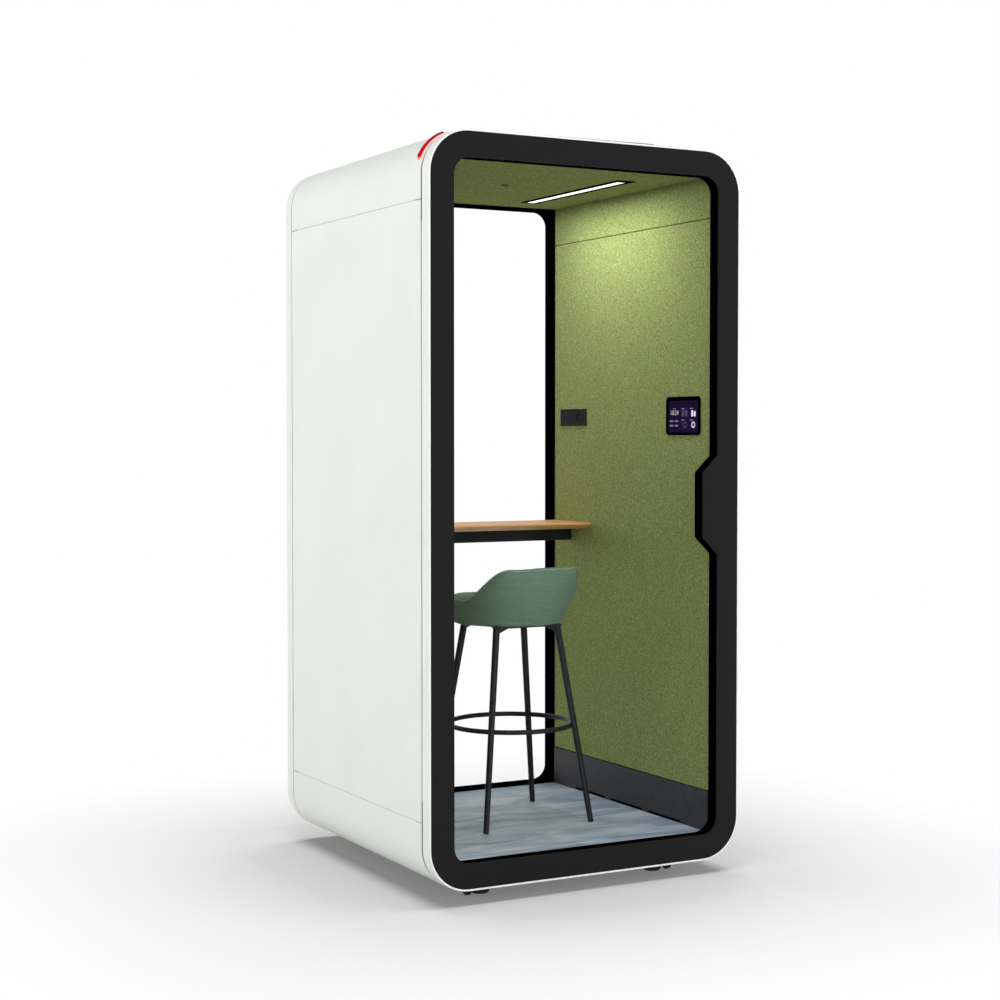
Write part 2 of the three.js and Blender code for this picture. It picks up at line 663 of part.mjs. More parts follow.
function ceilingLight() {
  const x0 = LIGHT_X - LIGHT_WIDTH / 2;
  const x1 = LIGHT_X + LIGHT_WIDTH / 2;
  const y0 = LIGHT_Y - LIGHT_LENGTH / 2;
  const y1 = LIGHT_Y + LIGHT_LENGTH / 2;
  const under = ROOM_CEILING - LIGHT_PROUD;
  const recess = box(x0, x1, y0, y1, under - SKIN, under + LIGHT_DEPTH - LIGHT_FRAME);
  const airSlot = box(x0, x1, y0 - LIGHT_AIR_END, y0 - LIGHT_FRAME / 2,
    under - SKIN, under + LIGHT_DEPTH + SKIN);
  add('light_housing', cut(lightEnvelope(0), recess, airSlot), BLACK_PLASTIC);
  add('light_diffuser', box(x0 + FIT, x1 - FIT, y0 + FIT, y1 - FIT, under, under + DIFFUSER), OPAL);
}

function occupancySensor() {
  const under = ROOM_CEILING - FIT;
  add('occupancy_sensor', turned([
    [0, under - SENSOR_PROUD],
    [SENSOR_RADIUS / 2, under - SENSOR_PROUD],
    [SENSOR_RADIUS, under - SENSOR_PROUD / 3],
    [SENSOR_RADIUS, under],
    [SENSOR_NECK, under],
    [SENSOR_NECK, CEILING_TOP],
    [0, CEILING_TOP],
  ], SENSOR_X, SENSOR_Y), BLACK_PLASTIC);
}

// Roof ventilation

function roofCover() {
  const x = HALF - COVER_SIDE_MARGIN;
  const y = BODY_REAR - COVER_END_MARGIN;
  const z0 = TOP_Z + FIT;
  const z1 = TOP_Z + COVER_HEIGHT;
  const hollow = box(-x + COVER_SHEET, x - COVER_SHEET, -y + COVER_SHEET, y - COVER_SHEET,
    z0 - COVER_SHEET, z1 - COVER_SHEET);
  const pitch = 2 * y / COVER_SLOT_COUNT;
  const zSlot = (z0 + z1) / 2;
  const slots = Array.from({ length: COVER_SLOT_COUNT }, (_, i) => {
    const ySlot = (i - (COVER_SLOT_COUNT - 1) / 2) * pitch;
    return box(-x - COVER_SHEET, x + COVER_SHEET,
      ySlot - COVER_SLOT_LENGTH / 2, ySlot + COVER_SLOT_LENGTH / 2,
      zSlot - COVER_SLOT_HEIGHT / 2, zSlot + COVER_SLOT_HEIGHT / 2);
  });
  add('roof_cover', cut(box(-x, x, -y, y, z0, z1), hollow, ...slots), STEEL);
}

function fan() {
  const z1 = ROOF_UNDER;
  const z0 = z1 - FAN_DEPTH;
  const half = FAN_SIZE / 2;
  const tunnel = discZ(FAN_BORE, FAN_X, 0, z0 - SKIN, z1 + SKIN, TUNNEL_SIDES);
  const shroud = cut(box(FAN_X - half, FAN_X + half, -half, half, z0, z1), tunnel);
  const spider = [discZ(FAN_HUB, FAN_X, 0, z0, z0 + FAN_SPIDER)];
  for (let i = 0; i < FAN_STRUTS; i += 1) {
    const strut = box(0, FAN_BORE + FAN_STRUT / 2, -FAN_STRUT / 2, FAN_STRUT / 2, z0, z0 + FAN_SPIDER);
    spider.push(strut.rotateZ((2 * i + 1) * Math.PI / FAN_STRUTS).translate(FAN_X, 0, 0));
  }
  add('fan_shroud', join(shroud, ...spider), BLACK_PLASTIC);

  const hubFrom = z0 + FAN_SPIDER + FIT;
  const hubTo = z1 - SKIN;
  const tip = FAN_BORE - FAN_TIP_GAP;
  const blades = Array.from({ length: FAN_BLADES }, (_, i) => {
    const blade = new THREE.BoxGeometry(tip - FAN_HUB / 2, FAN_BLADE_CHORD, FAN_BLADE_THICK);
    blade.rotateX(FAN_PITCH).translate((tip + FAN_HUB / 2) / 2, 0, 0);
    const reach = Math.cos(Math.asin(FAN_BLADE_CHORD / 2 / tip));
    blade.scale(reach, 1, 1);
    return blade.rotateZ(i * 2 * Math.PI / FAN_BLADES).translate(FAN_X, 0, (hubFrom + hubTo) / 2);
  });
  add('fan_rotor', join(discZ(FAN_HUB, FAN_X, 0, hubFrom, hubTo), ...blades), BLACK_PLASTIC);
}

function cableGland() {
  const z0 = TOP_Z + FIT;
  const z1 = TOP_Z + GLAND_HEIGHT;
  add('cable_gland', turned([
    [GLAND_BORE, z0 - GLAND_DROP],
    [GLAND_STEM, z0 - GLAND_DROP],
    [GLAND_STEM, z0],
    [GLAND_RADIUS, z0],
    [GLAND_RADIUS, (z0 + z1) / 2],
    [GLAND_STEM, z1],
    [GLAND_BORE, z1],
    [GLAND_BORE, z0 - GLAND_DROP],
  ], GLAND_X, GLAND_Y), BLACK_PLASTIC);
}

// Desk across the rear of the cabin, on a steel beam between the side walls

function desk() {
  const top = ROOM_FLOOR + DESK_HEIGHT;
  const under = top - DESK_THICK;
  const rear = LINING_END;
  const front = rear - DESK_DEPTH;
  const half = ROOM_HALF - FIT;
  const section = outline([
    [front, top - DESK_EDGE], [front + DESK_BEVEL, under], [rear, under], [rear, top], [front, top]]);
  add('desk_top', slabX(section, -half, half), OAK);
  const beamFront = front + BEAM_SETBACK;
  const beamTop = under - FIT;
  const beam = box(-half, half, beamFront, beamFront + BEAM_WIDTH, beamTop - BEAM_HEIGHT, beamTop);
  add('desk_beam', beam, BLACK_PAINT);
}

// Wall fittings with their back boxes let into the felt

function wallFitting(y, z, length, height, proud, radius) {
  const y0 = y - length / 2;
  const y1 = y + length / 2;
  const z0 = ROOM_FLOOR + z - height / 2;
  const z1 = ROOM_FLOOR + z + height / 2;
  const wall = ROOM_HALF - FIT;
  const plate = slabX(rectangle(y0, y1, z0, z1, radius), wall - proud, wall, FILLET_STEPS);
  const backBox = box(ROOM_HALF - proud / 2, LINING_BACK - FIT,
    y0 + BACK_BOX_MARGIN, y1 - BACK_BOX_MARGIN, z0 + BACK_BOX_MARGIN, z1 - BACK_BOX_MARGIN);
  return join(plate, backBox);
}

function powerModule() {
  const body = wallFitting(POWER_Y, POWER_Z, POWER_LENGTH, POWER_HEIGHT, POWER_PROUD, SKIN);
  const face = ROOM_HALF - FIT - POWER_PROUD;
  const z = ROOM_FLOOR + POWER_Z;
  const socket = discX(OUTLET_RADIUS, face - SKIN, face + OUTLET_DEPTH, POWER_Y - OUTLET_PITCH / 2, z);
  const chargerY = POWER_Y + OUTLET_PITCH / 2;
  const charger = box(face - SKIN, face + OUTLET_DEPTH,
    chargerY - CHARGER_WIDTH / 2, chargerY + CHARGER_WIDTH / 2,
    z - CHARGER_HEIGHT / 2, z + CHARGER_HEIGHT / 2);
  add('power_module', cut(body, socket, charger), GREY_PLASTIC);
}

function touchDisplay() {
  const body = wallFitting(
    DISPLAY_Y, DISPLAY_Z, DISPLAY_LENGTH, DISPLAY_HEIGHT, DISPLAY_PROUD, DISPLAY_RADIUS);
  const face = ROOM_HALF - FIT - DISPLAY_PROUD;
  const z = ROOM_FLOOR + DISPLAY_Z;
  const halfLength = DISPLAY_LENGTH / 2 - DISPLAY_BEZEL;
  const halfHeight = DISPLAY_HEIGHT / 2 - DISPLAY_BEZEL;
  const screen = (spare) => rectangle(
    DISPLAY_Y - halfLength - spare, DISPLAY_Y + halfLength + spare,
    z - halfHeight - spare, z + halfHeight + spare, DISPLAY_RADIUS / 2 + spare);
  const recess = slabX(screen(FIT), face - SKIN, face + DISPLAY_GLASS + FIT, FILLET_STEPS);
  add('display_housing', cut(body, recess), BLACK_PLASTIC);
  add('display_screen', slabX(screen(0), face, face + DISPLAY_GLASS, FILLET_STEPS), SCREEN_GLASS);
}

// Chassis rails with castor ears and threaded bosses, levelling feet and castors

function eachFoot(make) {
  const places = [];
  for (const x of [-FOOT_X, FOOT_X]) {
    for (const y of [RAIL_Y, -RAIL_Y]) places.push(make(x, y));
  }
  return places;
}

function chassisRail(name, end) {
  const y = end * -RAIL_Y;
  const castorY = end * -CASTOR_Y;
  const half = HALF - SHELL_RADIUS - RAIL_SHEET;
  const z0 = BASE_Z + SKIN_INSIDE;
  const z1 = DECK_UNDER - FIT;
  const wallHalf = RAIL_WIDTH / 2 - RAIL_SHEET;
  const hollow = box(-half + RAIL_SHEET, half - RAIL_SHEET, y - wallHalf, y + wallHalf,
    z0 - SKIN, z1 - RAIL_SHEET);
  const channel = cut(box(-half, half, y - RAIL_WIDTH / 2, y + RAIL_WIDTH / 2, z0, z1), hollow);
  const stemBore = boreRadius(STEM_RADIUS + FIT, ROUND_SIDES);
  const axleBore = boreRadius(AXLE_RADIUS + RUNNING_FIT, ROUND_SIDES);
  const parts = [];
  const bores = [];
  for (const side of [-1, 1]) {
    parts.push(discZ(STEM_BOSS, side * FOOT_X, y, z1 - STEM_BOSS_LENGTH, z1));
    bores.push(discZ(stemBore, side * FOOT_X, y, z1 - 2 * STEM_BOSS_LENGTH, z1 + SKIN));
    const middle = side * CASTOR_X;
    for (const ear of [-1, 1]) {
      const inner = middle + ear * (CASTOR_HALF - EAR);
      const outer = middle + ear * CASTOR_HALF;
      parts.push(box(Math.min(inner, outer), Math.max(inner, outer),
        castorY - EAR_WIDTH / 2, castorY + EAR_WIDTH / 2, WHEEL_RADIUS - EAR_TAIL, z1));
    }
    const reach = CASTOR_HALF + EAR_GAP;
    bores.push(discX(axleBore, middle - reach, middle + reach, castorY, WHEEL_RADIUS));
  }
  add(name, cut(join(channel, ...parts), ...bores), STEEL);
}

function levellingFoot(name, x, y) {
  const z0 = FOOT_LIFT;
  const stemTop = DECK_UNDER - SKIN - FOOT_TRAVEL;
  add(name, turned([
    [0, z0],
    [FOOT_SOLE, z0],
    [FOOT_RADIUS, z0 + FOOT_BELLY[0]],
    [FOOT_RADIUS, z0 + FOOT_BELLY[1]],
    [FOOT_CROWN, z0 + FOOT_PAD],
    [STEM_RADIUS, z0 + FOOT_PAD],
    [STEM_RADIUS, stemTop],
    [0, stemTop],
  ], x, y), RUBBER);
}

function castorWheel(name, x, y) {
  const half = WHEEL_WIDTH / 2;
  const tread = discX(boreRadius(WHEEL_RADIUS, WHEEL_SIDES), -half, half, 0, 0, WHEEL_SIDES);
  tread.rotateX(Math.PI / WHEEL_SIDES);
  const axle = discX(AXLE_RADIUS, -CASTOR_HALF, CASTOR_HALF, 0, 0);
  add(name, join(tread, axle).translate(x, y, WHEEL_RADIUS), RUBBER);
}

function runningGear() {
  chassisRail('chassis_rail_front', -1);
  chassisRail('chassis_rail_rear', 1);
  for (const [across, side] of [['left', -1], ['right', 1]]) {
    for (const [along, end] of [['front', -1], ['rear', 1]]) {
      levellingFoot(`levelling_foot_${along}_${across}`, side * FOOT_X, end * -RAIL_Y);
      castorWheel(`castor_wheel_${along}_${across}`, side * CASTOR_X, end * -CASTOR_Y);
    }
  }
}

// Bar stool: a low-backed upholstered bucket seat on four splayed legs with a footrest ring

function stoolFrame(parent) {
  const plateTop = SEAT_UNDERSIDE - FIT;
  const plate = discZ(STOOL_PLATE_RADIUS, 0, 0, plateTop - STOOL_PLATE, plateTop, STOOL_PLATE_SIDES);
  const pieces = [plate];
  for (const x of [-1, 1]) {
    for (const y of [-1, 1]) {
      const top = new THREE.Vector3(x * STOOL_TOP_HALF, y * STOOL_TOP_HALF, plateTop - STOOL_PLATE / 2);
      const foot = new THREE.Vector3(x * STOOL_FOOT_HALF, y * STOOL_FOOT_HALF, STOOL_GLIDE);
      pieces.push(rod(top, foot, STOOL_LEG_RADIUS, STOOL_LEG_TIP, PIN_SIDES));
      pieces.push(discZ(STOOL_LEG_TIP, foot.x, foot.y, FIT, 2 * STOOL_GLIDE, PIN_SIDES));
    }
  }
  const drop = (plateTop - FOOTREST_HEIGHT) / (plateTop - STOOL_GLIDE);
  const legHalf = STOOL_TOP_HALF + (STOOL_FOOT_HALF - STOOL_TOP_HALF) * drop;
  const ringRadius = legHalf * Math.SQRT2 - STOOL_LEG_RADIUS - FOOTREST_RADIUS + FOOTREST_BITE;
  const ring = new THREE.TorusGeometry(ringRadius, FOOTREST_RADIUS, FOOTREST_SIDES, FOOTREST_STEPS);
  pieces.push(ring.translate(0, 0, FOOTREST_HEIGHT));
  add('stool_frame', join(...pieces), BLACK_PAINT, parent);
}

// Rings run from the middle of the underside, up the outer wall, over the rim and in to the crown.
function bucketSeat(parent) {
  const rise = (turn) => SEAT_BACK_RISE * THREE.MathUtils.smoothstep(turn, ARM_END, BACK_START);
  const rim = (turn) => SEAT_EDGE + rise(turn);
  const lip = SEAT_THICK / SEAT_HALF_WIDTH;
  const surface = (share) => SEAT_CROWN - (SEAT_CROWN - SEAT_EDGE) * share * share;
  const spread = (z) => {
    const below = Math.max(0, 1 - z / SEAT_TAPER_HEIGHT);
    return 1 - SEAT_TAPER * below ** SEAT_TAPER_POWER;
  };

  const sole = spread(0) - SEAT_ROUNDING / SEAT_HALF_WIDTH;
  const rings = [() => [sole / 2, 0], () => [sole, 0]];
  for (let k = 0; k <= SEAT_WALL_STEPS; k += 1) {
    rings.push((turn) => {
      const top = rim(turn) - SEAT_THICK * LIP_START;
      const z = THREE.MathUtils.lerp(SEAT_ROUNDING, top, k / SEAT_WALL_STEPS);
      return [spread(z), z];
    });
  }
  rings.push((turn) => [spread(rim(turn)) - lip * LIP_CURL[0], rim(turn) - SEAT_THICK * LIP_CURL[1]]);
  rings.push((turn) => [spread(rim(turn)) - lip / 2, rim(turn)]);
  for (let k = 0; k < SEAT_WELL_STEPS; k += 1) {
    rings.push((turn) => {
      const wall = spread(rim(turn)) - lip;
      const share = wall * (1 - k / SEAT_WELL_STEPS);
      const climb = THREE.MathUtils.smoothstep(share, SEAT_WELL, wall + lip / 2);
      return [share, surface(share) + rise(turn) * climb];
    });
  }

  const points = [new THREE.Vector3(0, 0, 0)];
  for (const ring of rings) {
    for (let j = 0; j < SEAT_STEPS; j += 1) {
      const angle = j / SEAT_STEPS * 2 * Math.PI;
      const turn = Math.acos(Math.sin(angle));
      const [share, z] = ring(turn);
      points.push(new THREE.Vector3(
        share * SEAT_HALF_WIDTH * Math.cos(angle), share * SEAT_HALF_DEPTH * Math.sin(angle), z));
    }
  }
  points.push(new THREE.Vector3(0, 0, SEAT_CROWN));

  const at = (ring, j) => 1 + ring * SEAT_STEPS + j % SEAT_STEPS;
  const last = points.length - 1;
  const faces = [];
  for (let j = 0; j < SEAT_STEPS; j += 1) {
    faces.push(0, at(0, j + 1), at(0, j));
    for (let ring = 0; ring < rings.length - 1; ring += 1) {
      faces.push(at(ring, j), at(ring, j + 1), at(ring + 1, j + 1));
      faces.push(at(ring, j), at(ring + 1, j + 1), at(ring + 1, j));
    }
    faces.push(at(rings.length - 1, j), at(rings.length - 1, j + 1), last);
  }
  const geometry = new THREE.BufferGeometry().setFromPoints(points).setIndex(faces);
  geometry.computeVertexNormals();
  add('stool_seat', geometry.rotateZ(SEAT_TURN).translate(0, 0, SEAT_UNDERSIDE), SAGE_FABRIC, parent);
}

function stool() {
  const group = new THREE.Group();
  group.position.set(STOOL_X, STOOL_Y, ROOM_FLOOR);
  stoolFrame(group);
  bucketSeat(group);
  pod.add(group);
}

door();
rearWall();
doorHinge();
doorCatch();
outerSkin();
portal('front_portal', -1);
portal('rear_portal', 1);
insulation();
wallLining('left', -1);
wallLining('right', 1);
floorAndCeiling();
ceilingLight();
occupancySensor();
roofCover();
fan();
cableGland();
desk();
powerModule();
touchDisplay();
runningGear();
stool();

export default pod;
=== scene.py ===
"""Acoustic office pod: finishes, rounded shells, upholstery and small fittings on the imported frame."""

import json
import math

import bmesh
import bpy
from mathutils import Matrix, Vector
from mathutils.bvhtree import BVHTree


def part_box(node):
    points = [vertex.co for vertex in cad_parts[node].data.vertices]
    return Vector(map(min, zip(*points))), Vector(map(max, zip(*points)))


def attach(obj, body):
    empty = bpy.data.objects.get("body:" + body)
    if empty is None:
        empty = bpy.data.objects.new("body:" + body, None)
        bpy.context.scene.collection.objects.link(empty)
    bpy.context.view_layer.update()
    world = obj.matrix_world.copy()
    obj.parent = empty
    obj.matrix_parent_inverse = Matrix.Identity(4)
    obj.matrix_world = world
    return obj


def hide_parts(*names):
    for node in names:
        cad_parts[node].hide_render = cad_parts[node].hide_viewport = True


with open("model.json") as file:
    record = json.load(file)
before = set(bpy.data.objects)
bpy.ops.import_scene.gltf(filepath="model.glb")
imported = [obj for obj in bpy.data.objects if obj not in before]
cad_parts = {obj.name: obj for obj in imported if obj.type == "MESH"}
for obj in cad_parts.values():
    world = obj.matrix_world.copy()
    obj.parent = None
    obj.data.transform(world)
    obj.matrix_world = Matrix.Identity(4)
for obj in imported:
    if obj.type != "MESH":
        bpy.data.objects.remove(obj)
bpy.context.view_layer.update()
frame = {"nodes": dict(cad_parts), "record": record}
MM = 0.001
ARC = 16


def place(node):
    """The lowest and highest corners of a node, in millimetres."""
    low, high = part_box(node)
    return low / MM, high / MM


# Main places, in millimetres
RIM_LOW, RIM_HIGH = place("door_rim")
HALF = RIM_HIGH.x
BASE = RIM_LOW.z
TOP = RIM_HIGH.z
FRONT = RIM_LOW.y
DOOR_BACK = RIM_HIGH.y
BODY_FRONT = place("side_panel_left")[0].y
BODY_REAR = -BODY_FRONT
SHELL_RADIUS = 133
RIM_LIP = 6
OPENING_INSET = 82.5
OPENING_RADIUS = 52
GRIP_LOW, GRIP_HIGH = 1016, 1328
GRIP_FLAT_LOW, GRIP_FLAT_HIGH = 1069, 1275
GRIP_DEPTH = 56
GRIP_SETBACK = 6
SKIN = 2
CORNER_LEG = 205
FIT = 0.3


# Camera at the photograph's viewpoint

def photo_camera():
    """A camera at standing height, in front and to the left, 28.5 degrees off the door's face."""
    data = bpy.data.cameras.new("photo_camera")
    data.sensor_width = 36
    data.lens = 66.89
    data.shift_x = -0.00085
    data.shift_y = -0.0046
    camera = bpy.data.objects.new("photo_camera", data)
    camera.location = (-2.9403, -5.3787, 1.389)
    camera.rotation_euler = (math.radians(88.176), 0, math.radians(-28.54))
    bpy.context.scene.collection.objects.link(camera)
    bpy.context.scene.camera = camera


# Material tools

def linear(code):
    """An sRGB hex colour as linear red, green, blue and alpha."""
    parts = [int(code[i:i + 2], 16) / 255 for i in (1, 3, 5)]
    return [c / 12.92 if c <= 0.04045 else ((c + 0.055) / 1.055) ** 2.4 for c in parts] + [1.0]


def per_mm(size):
    """The texture scale whose features are about this many millimetres across."""
    return 1 / (size * MM)


def add(tree, kind, inputs=None, stops=None, **settings):
    """Add a node with its settings, its colour stops, and its inputs as values or as links."""
    node = tree.nodes.new(kind)
    for name, value in settings.items():
        setattr(node, name, value)
    for name, value in (inputs or {}).items():
        if isinstance(value, bpy.types.NodeSocket):
            tree.links.new(value, node.inputs[name])
        else:
            node.inputs[name].default_value = value
    if stops:
        ramp = node.color_ramp.elements
        while len(ramp) < len(stops):
            ramp.new(0.5)
        for element, (position, code) in zip(ramp, stops):
            element.position = position
            element.color = linear(code)
    return node


def new_material(name, **sockets):
    """A Principled material: itself, its node tree, its shader and the Object coordinates."""
    made = bpy.data.materials.new(name)
    made.use_nodes = True
    tree = made.node_tree
    shader = tree.nodes["Principled BSDF"]
    for socket, value in sockets.items():
        shader.inputs[socket.replace("_", " ")].default_value = value
    point = add(tree, "ShaderNodeTexCoord").outputs["Object"]
    return made, tree, shader, point


def link(tree, source, shader, socket):
    """Link a node's first output to one of the shader's sockets."""
    tree.links.new(source.outputs[0], shader.inputs[socket])


# Materials, each named for the real one

def powder_coat(name, shade, tint, roughness):
    """Powder coat baked on sheet metal: satin, with an orange peel of about 2 mm, drawn at 5 mm to show."""
    made, tree, shader, point = new_material(name, IOR=1.5, Specular_IOR_Level=0.3)
    drift = add(tree, "ShaderNodeTexNoise", {"Vector": point, "Scale": per_mm(260), "Detail": 3})
    tone = add(tree, "ShaderNodeValToRGB", {"Fac": drift.outputs[0]}, [(0.35, shade), (0.65, tint)])
    peel = add(tree, "ShaderNodeTexNoise", {"Vector": point, "Scale": per_mm(5), "Detail": 2})
    sheen = add(tree, "ShaderNodeMapRange", {
        "Value": peel.outputs[0], "To Min": roughness - 0.05, "To Max": roughness + 0.05})
    bump = add(tree, "ShaderNodeBump", {"Height": peel.outputs[0], "Strength": 0.05, "Distance": 0.0003})
    link(tree, tone, shader, "Base Color")
    link(tree, sheen, shader, "Roughness")
    link(tree, bump, shader, "Normal")
    return made


def textured_coat(name, shade, tint):
    """Fine-textured dark powder coat: matt, with grains of about 0.5 mm, drawn at 3 mm to show."""
    made, tree, shader, point = new_material(name, IOR=1.45, Specular_IOR_Level=0.2)
    grain = add(tree, "ShaderNodeTexNoise", {"Vector": point, "Scale": per_mm(3), "Detail": 5})
    tone = add(tree, "ShaderNodeValToRGB", {"Fac": grain.outputs[0]}, [(0.3, shade), (0.7, tint)])
    sheen = add(tree, "ShaderNodeMapRange", {"Value": grain.outputs[0], "To Min": 0.5, "To Max": 0.72})
    bump = add(tree, "ShaderNodeBump", {"Height": grain.outputs[0], "Strength": 0.12, "Distance": 0.0003})
    link(tree, tone, shader, "Base Color")
    link(tree, sheen, shader, "Roughness")
    link(tree, bump, shader, "Normal")
    return made


def coated_glass():
    """Low-iron glass with an anti-reflective coat: all but clear, with reflections at a grazing view only."""
    made = bpy.data.materials.new("anti_reflective_glass")
    made.use_nodes = True
    tree = made.node_tree
    tree.nodes.remove(tree.nodes["Principled BSDF"])
    clear = add(tree, "ShaderNodeBsdfTransparent", {"Color": linear("#ffffff")})
    smear = add(tree, "ShaderNodeTexNoise", {
        "Vector": add(tree, "ShaderNodeTexCoord").outputs["Object"], "Scale": per_mm(300), "Detail": 2})
    sheen = add(tree, "ShaderNodeMapRange", {"Value": smear.outputs[0], "To Min": 0.0, "To Max": 0.05})
    mirror = add(tree, "ShaderNodeBsdfGlossy", {"Roughness": sheen.outputs[0]})
    slant = add(tree, "ShaderNodeLayerWeight", {"Blend": 0.5})
    steep = add(tree, "ShaderNodeMath", {0: slant.outputs["Facing"], 1: 6.0}, operation="POWER")
    share = add(tree, "ShaderNodeMath", {0: steep.outputs[0], 1: 0.5}, operation="MULTIPLY")
    pane = add(tree, "ShaderNodeMixShader", {"Fac": share.outputs[0]})
    tree.links.new(clear.outputs[0], pane.inputs[1])
    tree.links.new(mirror.outputs[0], pane.inputs[2])
    tree.links.new(pane.outputs[0], tree.nodes["Material Output"].inputs["Surface"])
    return made


def moulded_rubber():
    """Moulded black rubber: matt, dusted grey in patches, with a fine pebble of 1 mm, drawn at 3 mm."""
    made, tree, shader, point = new_material("moulded_rubber", IOR=1.52)
    dust = add(tree, "ShaderNodeTexNoise", {"Vector": point, "Scale": per_mm(25), "Detail": 5})
    tone = add(tree, "ShaderNodeValToRGB", {"Fac": dust.outputs[0]}, [(0.4, "#101011"), (0.75, "#1e1e20")])
    pebble = add(tree, "ShaderNodeTexNoise", {"Vector": point, "Scale": per_mm(3), "Detail": 3})
    sheen = add(tree, "ShaderNodeMapRange", {"Value": dust.outputs[0], "To Min": 0.65, "To Max": 0.9})
    bump = add(tree, "ShaderNodeBump", {"Height": pebble.outputs[0], "Strength": 0.2, "Distance": 0.0004})
    link(tree, tone, shader, "Base Color")
    link(tree, sheen, shader, "Roughness")
    link(tree, bump, shader, "Normal")
    return made


def zinc_steel(name, shade, tint):
    """Zinc on steel: grey metal with cloudy spangle of about 10 mm and drawn streaks."""
    made, tree, shader, point = new_material(name, Metallic=1.0)
    spangle = add(tree, "ShaderNodeTexVoronoi", {"Vector": point, "Scale": per_mm(10)})
    tone = add(tree, "ShaderNodeValToRGB", {"Fac": spangle.outputs["Distance"]}, [(0.1, shade), (0.8, tint)])
    drawn = add(tree, "ShaderNodeMapping", {"Vector": point, "Scale": (1, 1, 0.05)})
    streak = add(tree, "ShaderNodeTexNoise", {"Vector": drawn.outputs[0], "Scale": per_mm(2), "Detail": 4})
    sheen = add(tree, "ShaderNodeMapRange", {"Value": streak.outputs[0], "To Min": 0.28, "To Max": 0.5})
    bump = add(tree, "ShaderNodeBump", {"Height": streak.outputs[0], "Strength": 0.08, "Distance": 0.0002})
    link(tree, tone, shader, "Base Color")
    link(tree, sheen, shader, "Roughness")
    link(tree, bump, shader, "Normal")
    return made


def needled_felt():
    """Heathered felt: matt, with light and dark flecks of 9 by 3 mm that lie level, and upright ones of 3 mm."""
    made, tree, shader, point = new_material(
        "heathered_felt", Sheen_Weight=0.15, Sheen_Roughness=0.6, IOR=1.4, Specular_IOR_Level=0.1)
    shader.inputs["Sheen Tint"].default_value = linear("#c9d28f")
    level = add(tree, "ShaderNodeMapping", {"Vector": point, "Scale": (0.4, 0.4, 1)})
    fleck = add(tree, "ShaderNodeTexNoise", {
        "Vector": level.outputs[0], "Scale": per_mm(3.4), "Detail": 3, "Roughness": 0.7, "Distortion": 0.3})
    upright = add(tree, "ShaderNodeMapping", {"Vector": point, "Scale": (1, 1, 0.4)})
    fine = add(tree, "ShaderNodeTexNoise", {"Vector": upright.outputs[0], "Scale": per_mm(3), "Detail": 2})
    both = add(tree, "ShaderNodeMix", {"Factor": 0.4, "A": fleck.outputs[0], "B": fine.outputs[0]})
    tone = add(tree, "ShaderNodeValToRGB", {"Fac": both.outputs[0]},
               [(0.35, "#566137"), (0.5, "#808a54"), (0.65, "#a9b37a")])
    bump = add(tree, "ShaderNodeBump", {"Height": both.outputs[0], "Strength": 0.3, "Distance": 0.0015})
    matt = add(tree, "ShaderNodeMapRange", {"Value": fine.outputs[0], "To Min": 0.88, "To Max": 1.0})
    link(tree, tone, shader, "Base Color")
    link(tree, matt, shader, "Roughness")
    link(tree, bump, shader, "Normal")
    return made


def fibre_board():
    """Pressed insulation fibre: pale grey, with flecks of 6 mm."""
    made, tree, shader, point = new_material("insulation_fibre", Roughness=0.95)
    fleck = add(tree, "ShaderNodeTexNoise", {"Vector": point, "Scale": per_mm(6), "Detail": 6})
    tone = add(tree, "ShaderNodeValToRGB", {"Fac": fleck.outputs[0]}, [(0.35, "#c6c8c3"), (0.65, "#dcded9")])
    bump = add(tree, "ShaderNodeBump", {"Height": fleck.outputs[0], "Strength": 0.4, "Distance": 0.001})
    link(tree, tone, shader, "Base Color")
    link(tree, bump, shader, "Normal")
    return made


def moulded_plastic(name, shade, tint, roughness, shine=0.5):
    """Moulded ABS with a spark-eroded texture of about 0.3 mm, drawn at 2 mm, and faint handling marks."""
    made, tree, shader, point = new_material(name, IOR=1.53, Specular_IOR_Level=shine)
    spark = add(tree, "ShaderNodeTexNoise", {"Vector": point, "Scale": per_mm(2), "Detail": 3})
    wear = add(tree, "ShaderNodeTexNoise", {"Vector": point, "Scale": per_mm(45), "Detail": 4})
    tone = add(tree, "ShaderNodeValToRGB", {"Fac": wear.outputs[0]}, [(0.35, shade), (0.7, tint)])
    sheen = add(tree, "ShaderNodeMapRange", {
        "Value": wear.outputs[0], "To Min": roughness - 0.06, "To Max": roughness + 0.08})
    bump = add(tree, "ShaderNodeBump", {"Height": spark.outputs[0], "Strength": 0.12, "Distance": 0.0003})
    link(tree, tone, shader, "Base Color")
    link(tree, sheen, shader, "Roughness")
    link(tree, bump, shader, "Normal")
    return made


def birch_plywood():
    """Birch plywood: pale rotary-cut face, veneers of 1.5 mm as bands on the edge, drawn at 3 mm."""
    made, tree, shader, point = new_material("birch_plywood", Roughness=0.7)
    long = add(tree, "ShaderNodeMapping", {"Vector": point, "Scale": (0.1, 1, 1)})
    figure = add(tree, "ShaderNodeTexNoise", {"Vector": long.outputs[0], "Scale": per_mm(20), "Detail": 5})
    veneer = add(tree, "ShaderNodeTexWave", {
        "Vector": point, "Scale": per_mm(6) / 3.2, "Distortion": 0.3}, bands_direction="Z")
    both = add(tree, "ShaderNodeMath", {0: figure.outputs[0], 1: veneer.outputs["Fac"]}, operation="MULTIPLY")
    tone = add(tree, "ShaderNodeValToRGB", {"Fac": both.outputs[0]}, [(0.0, "#a37f4e"), (0.6, "#c9a873")])
    link(tree, tone, shader, "Base Color")
    return made


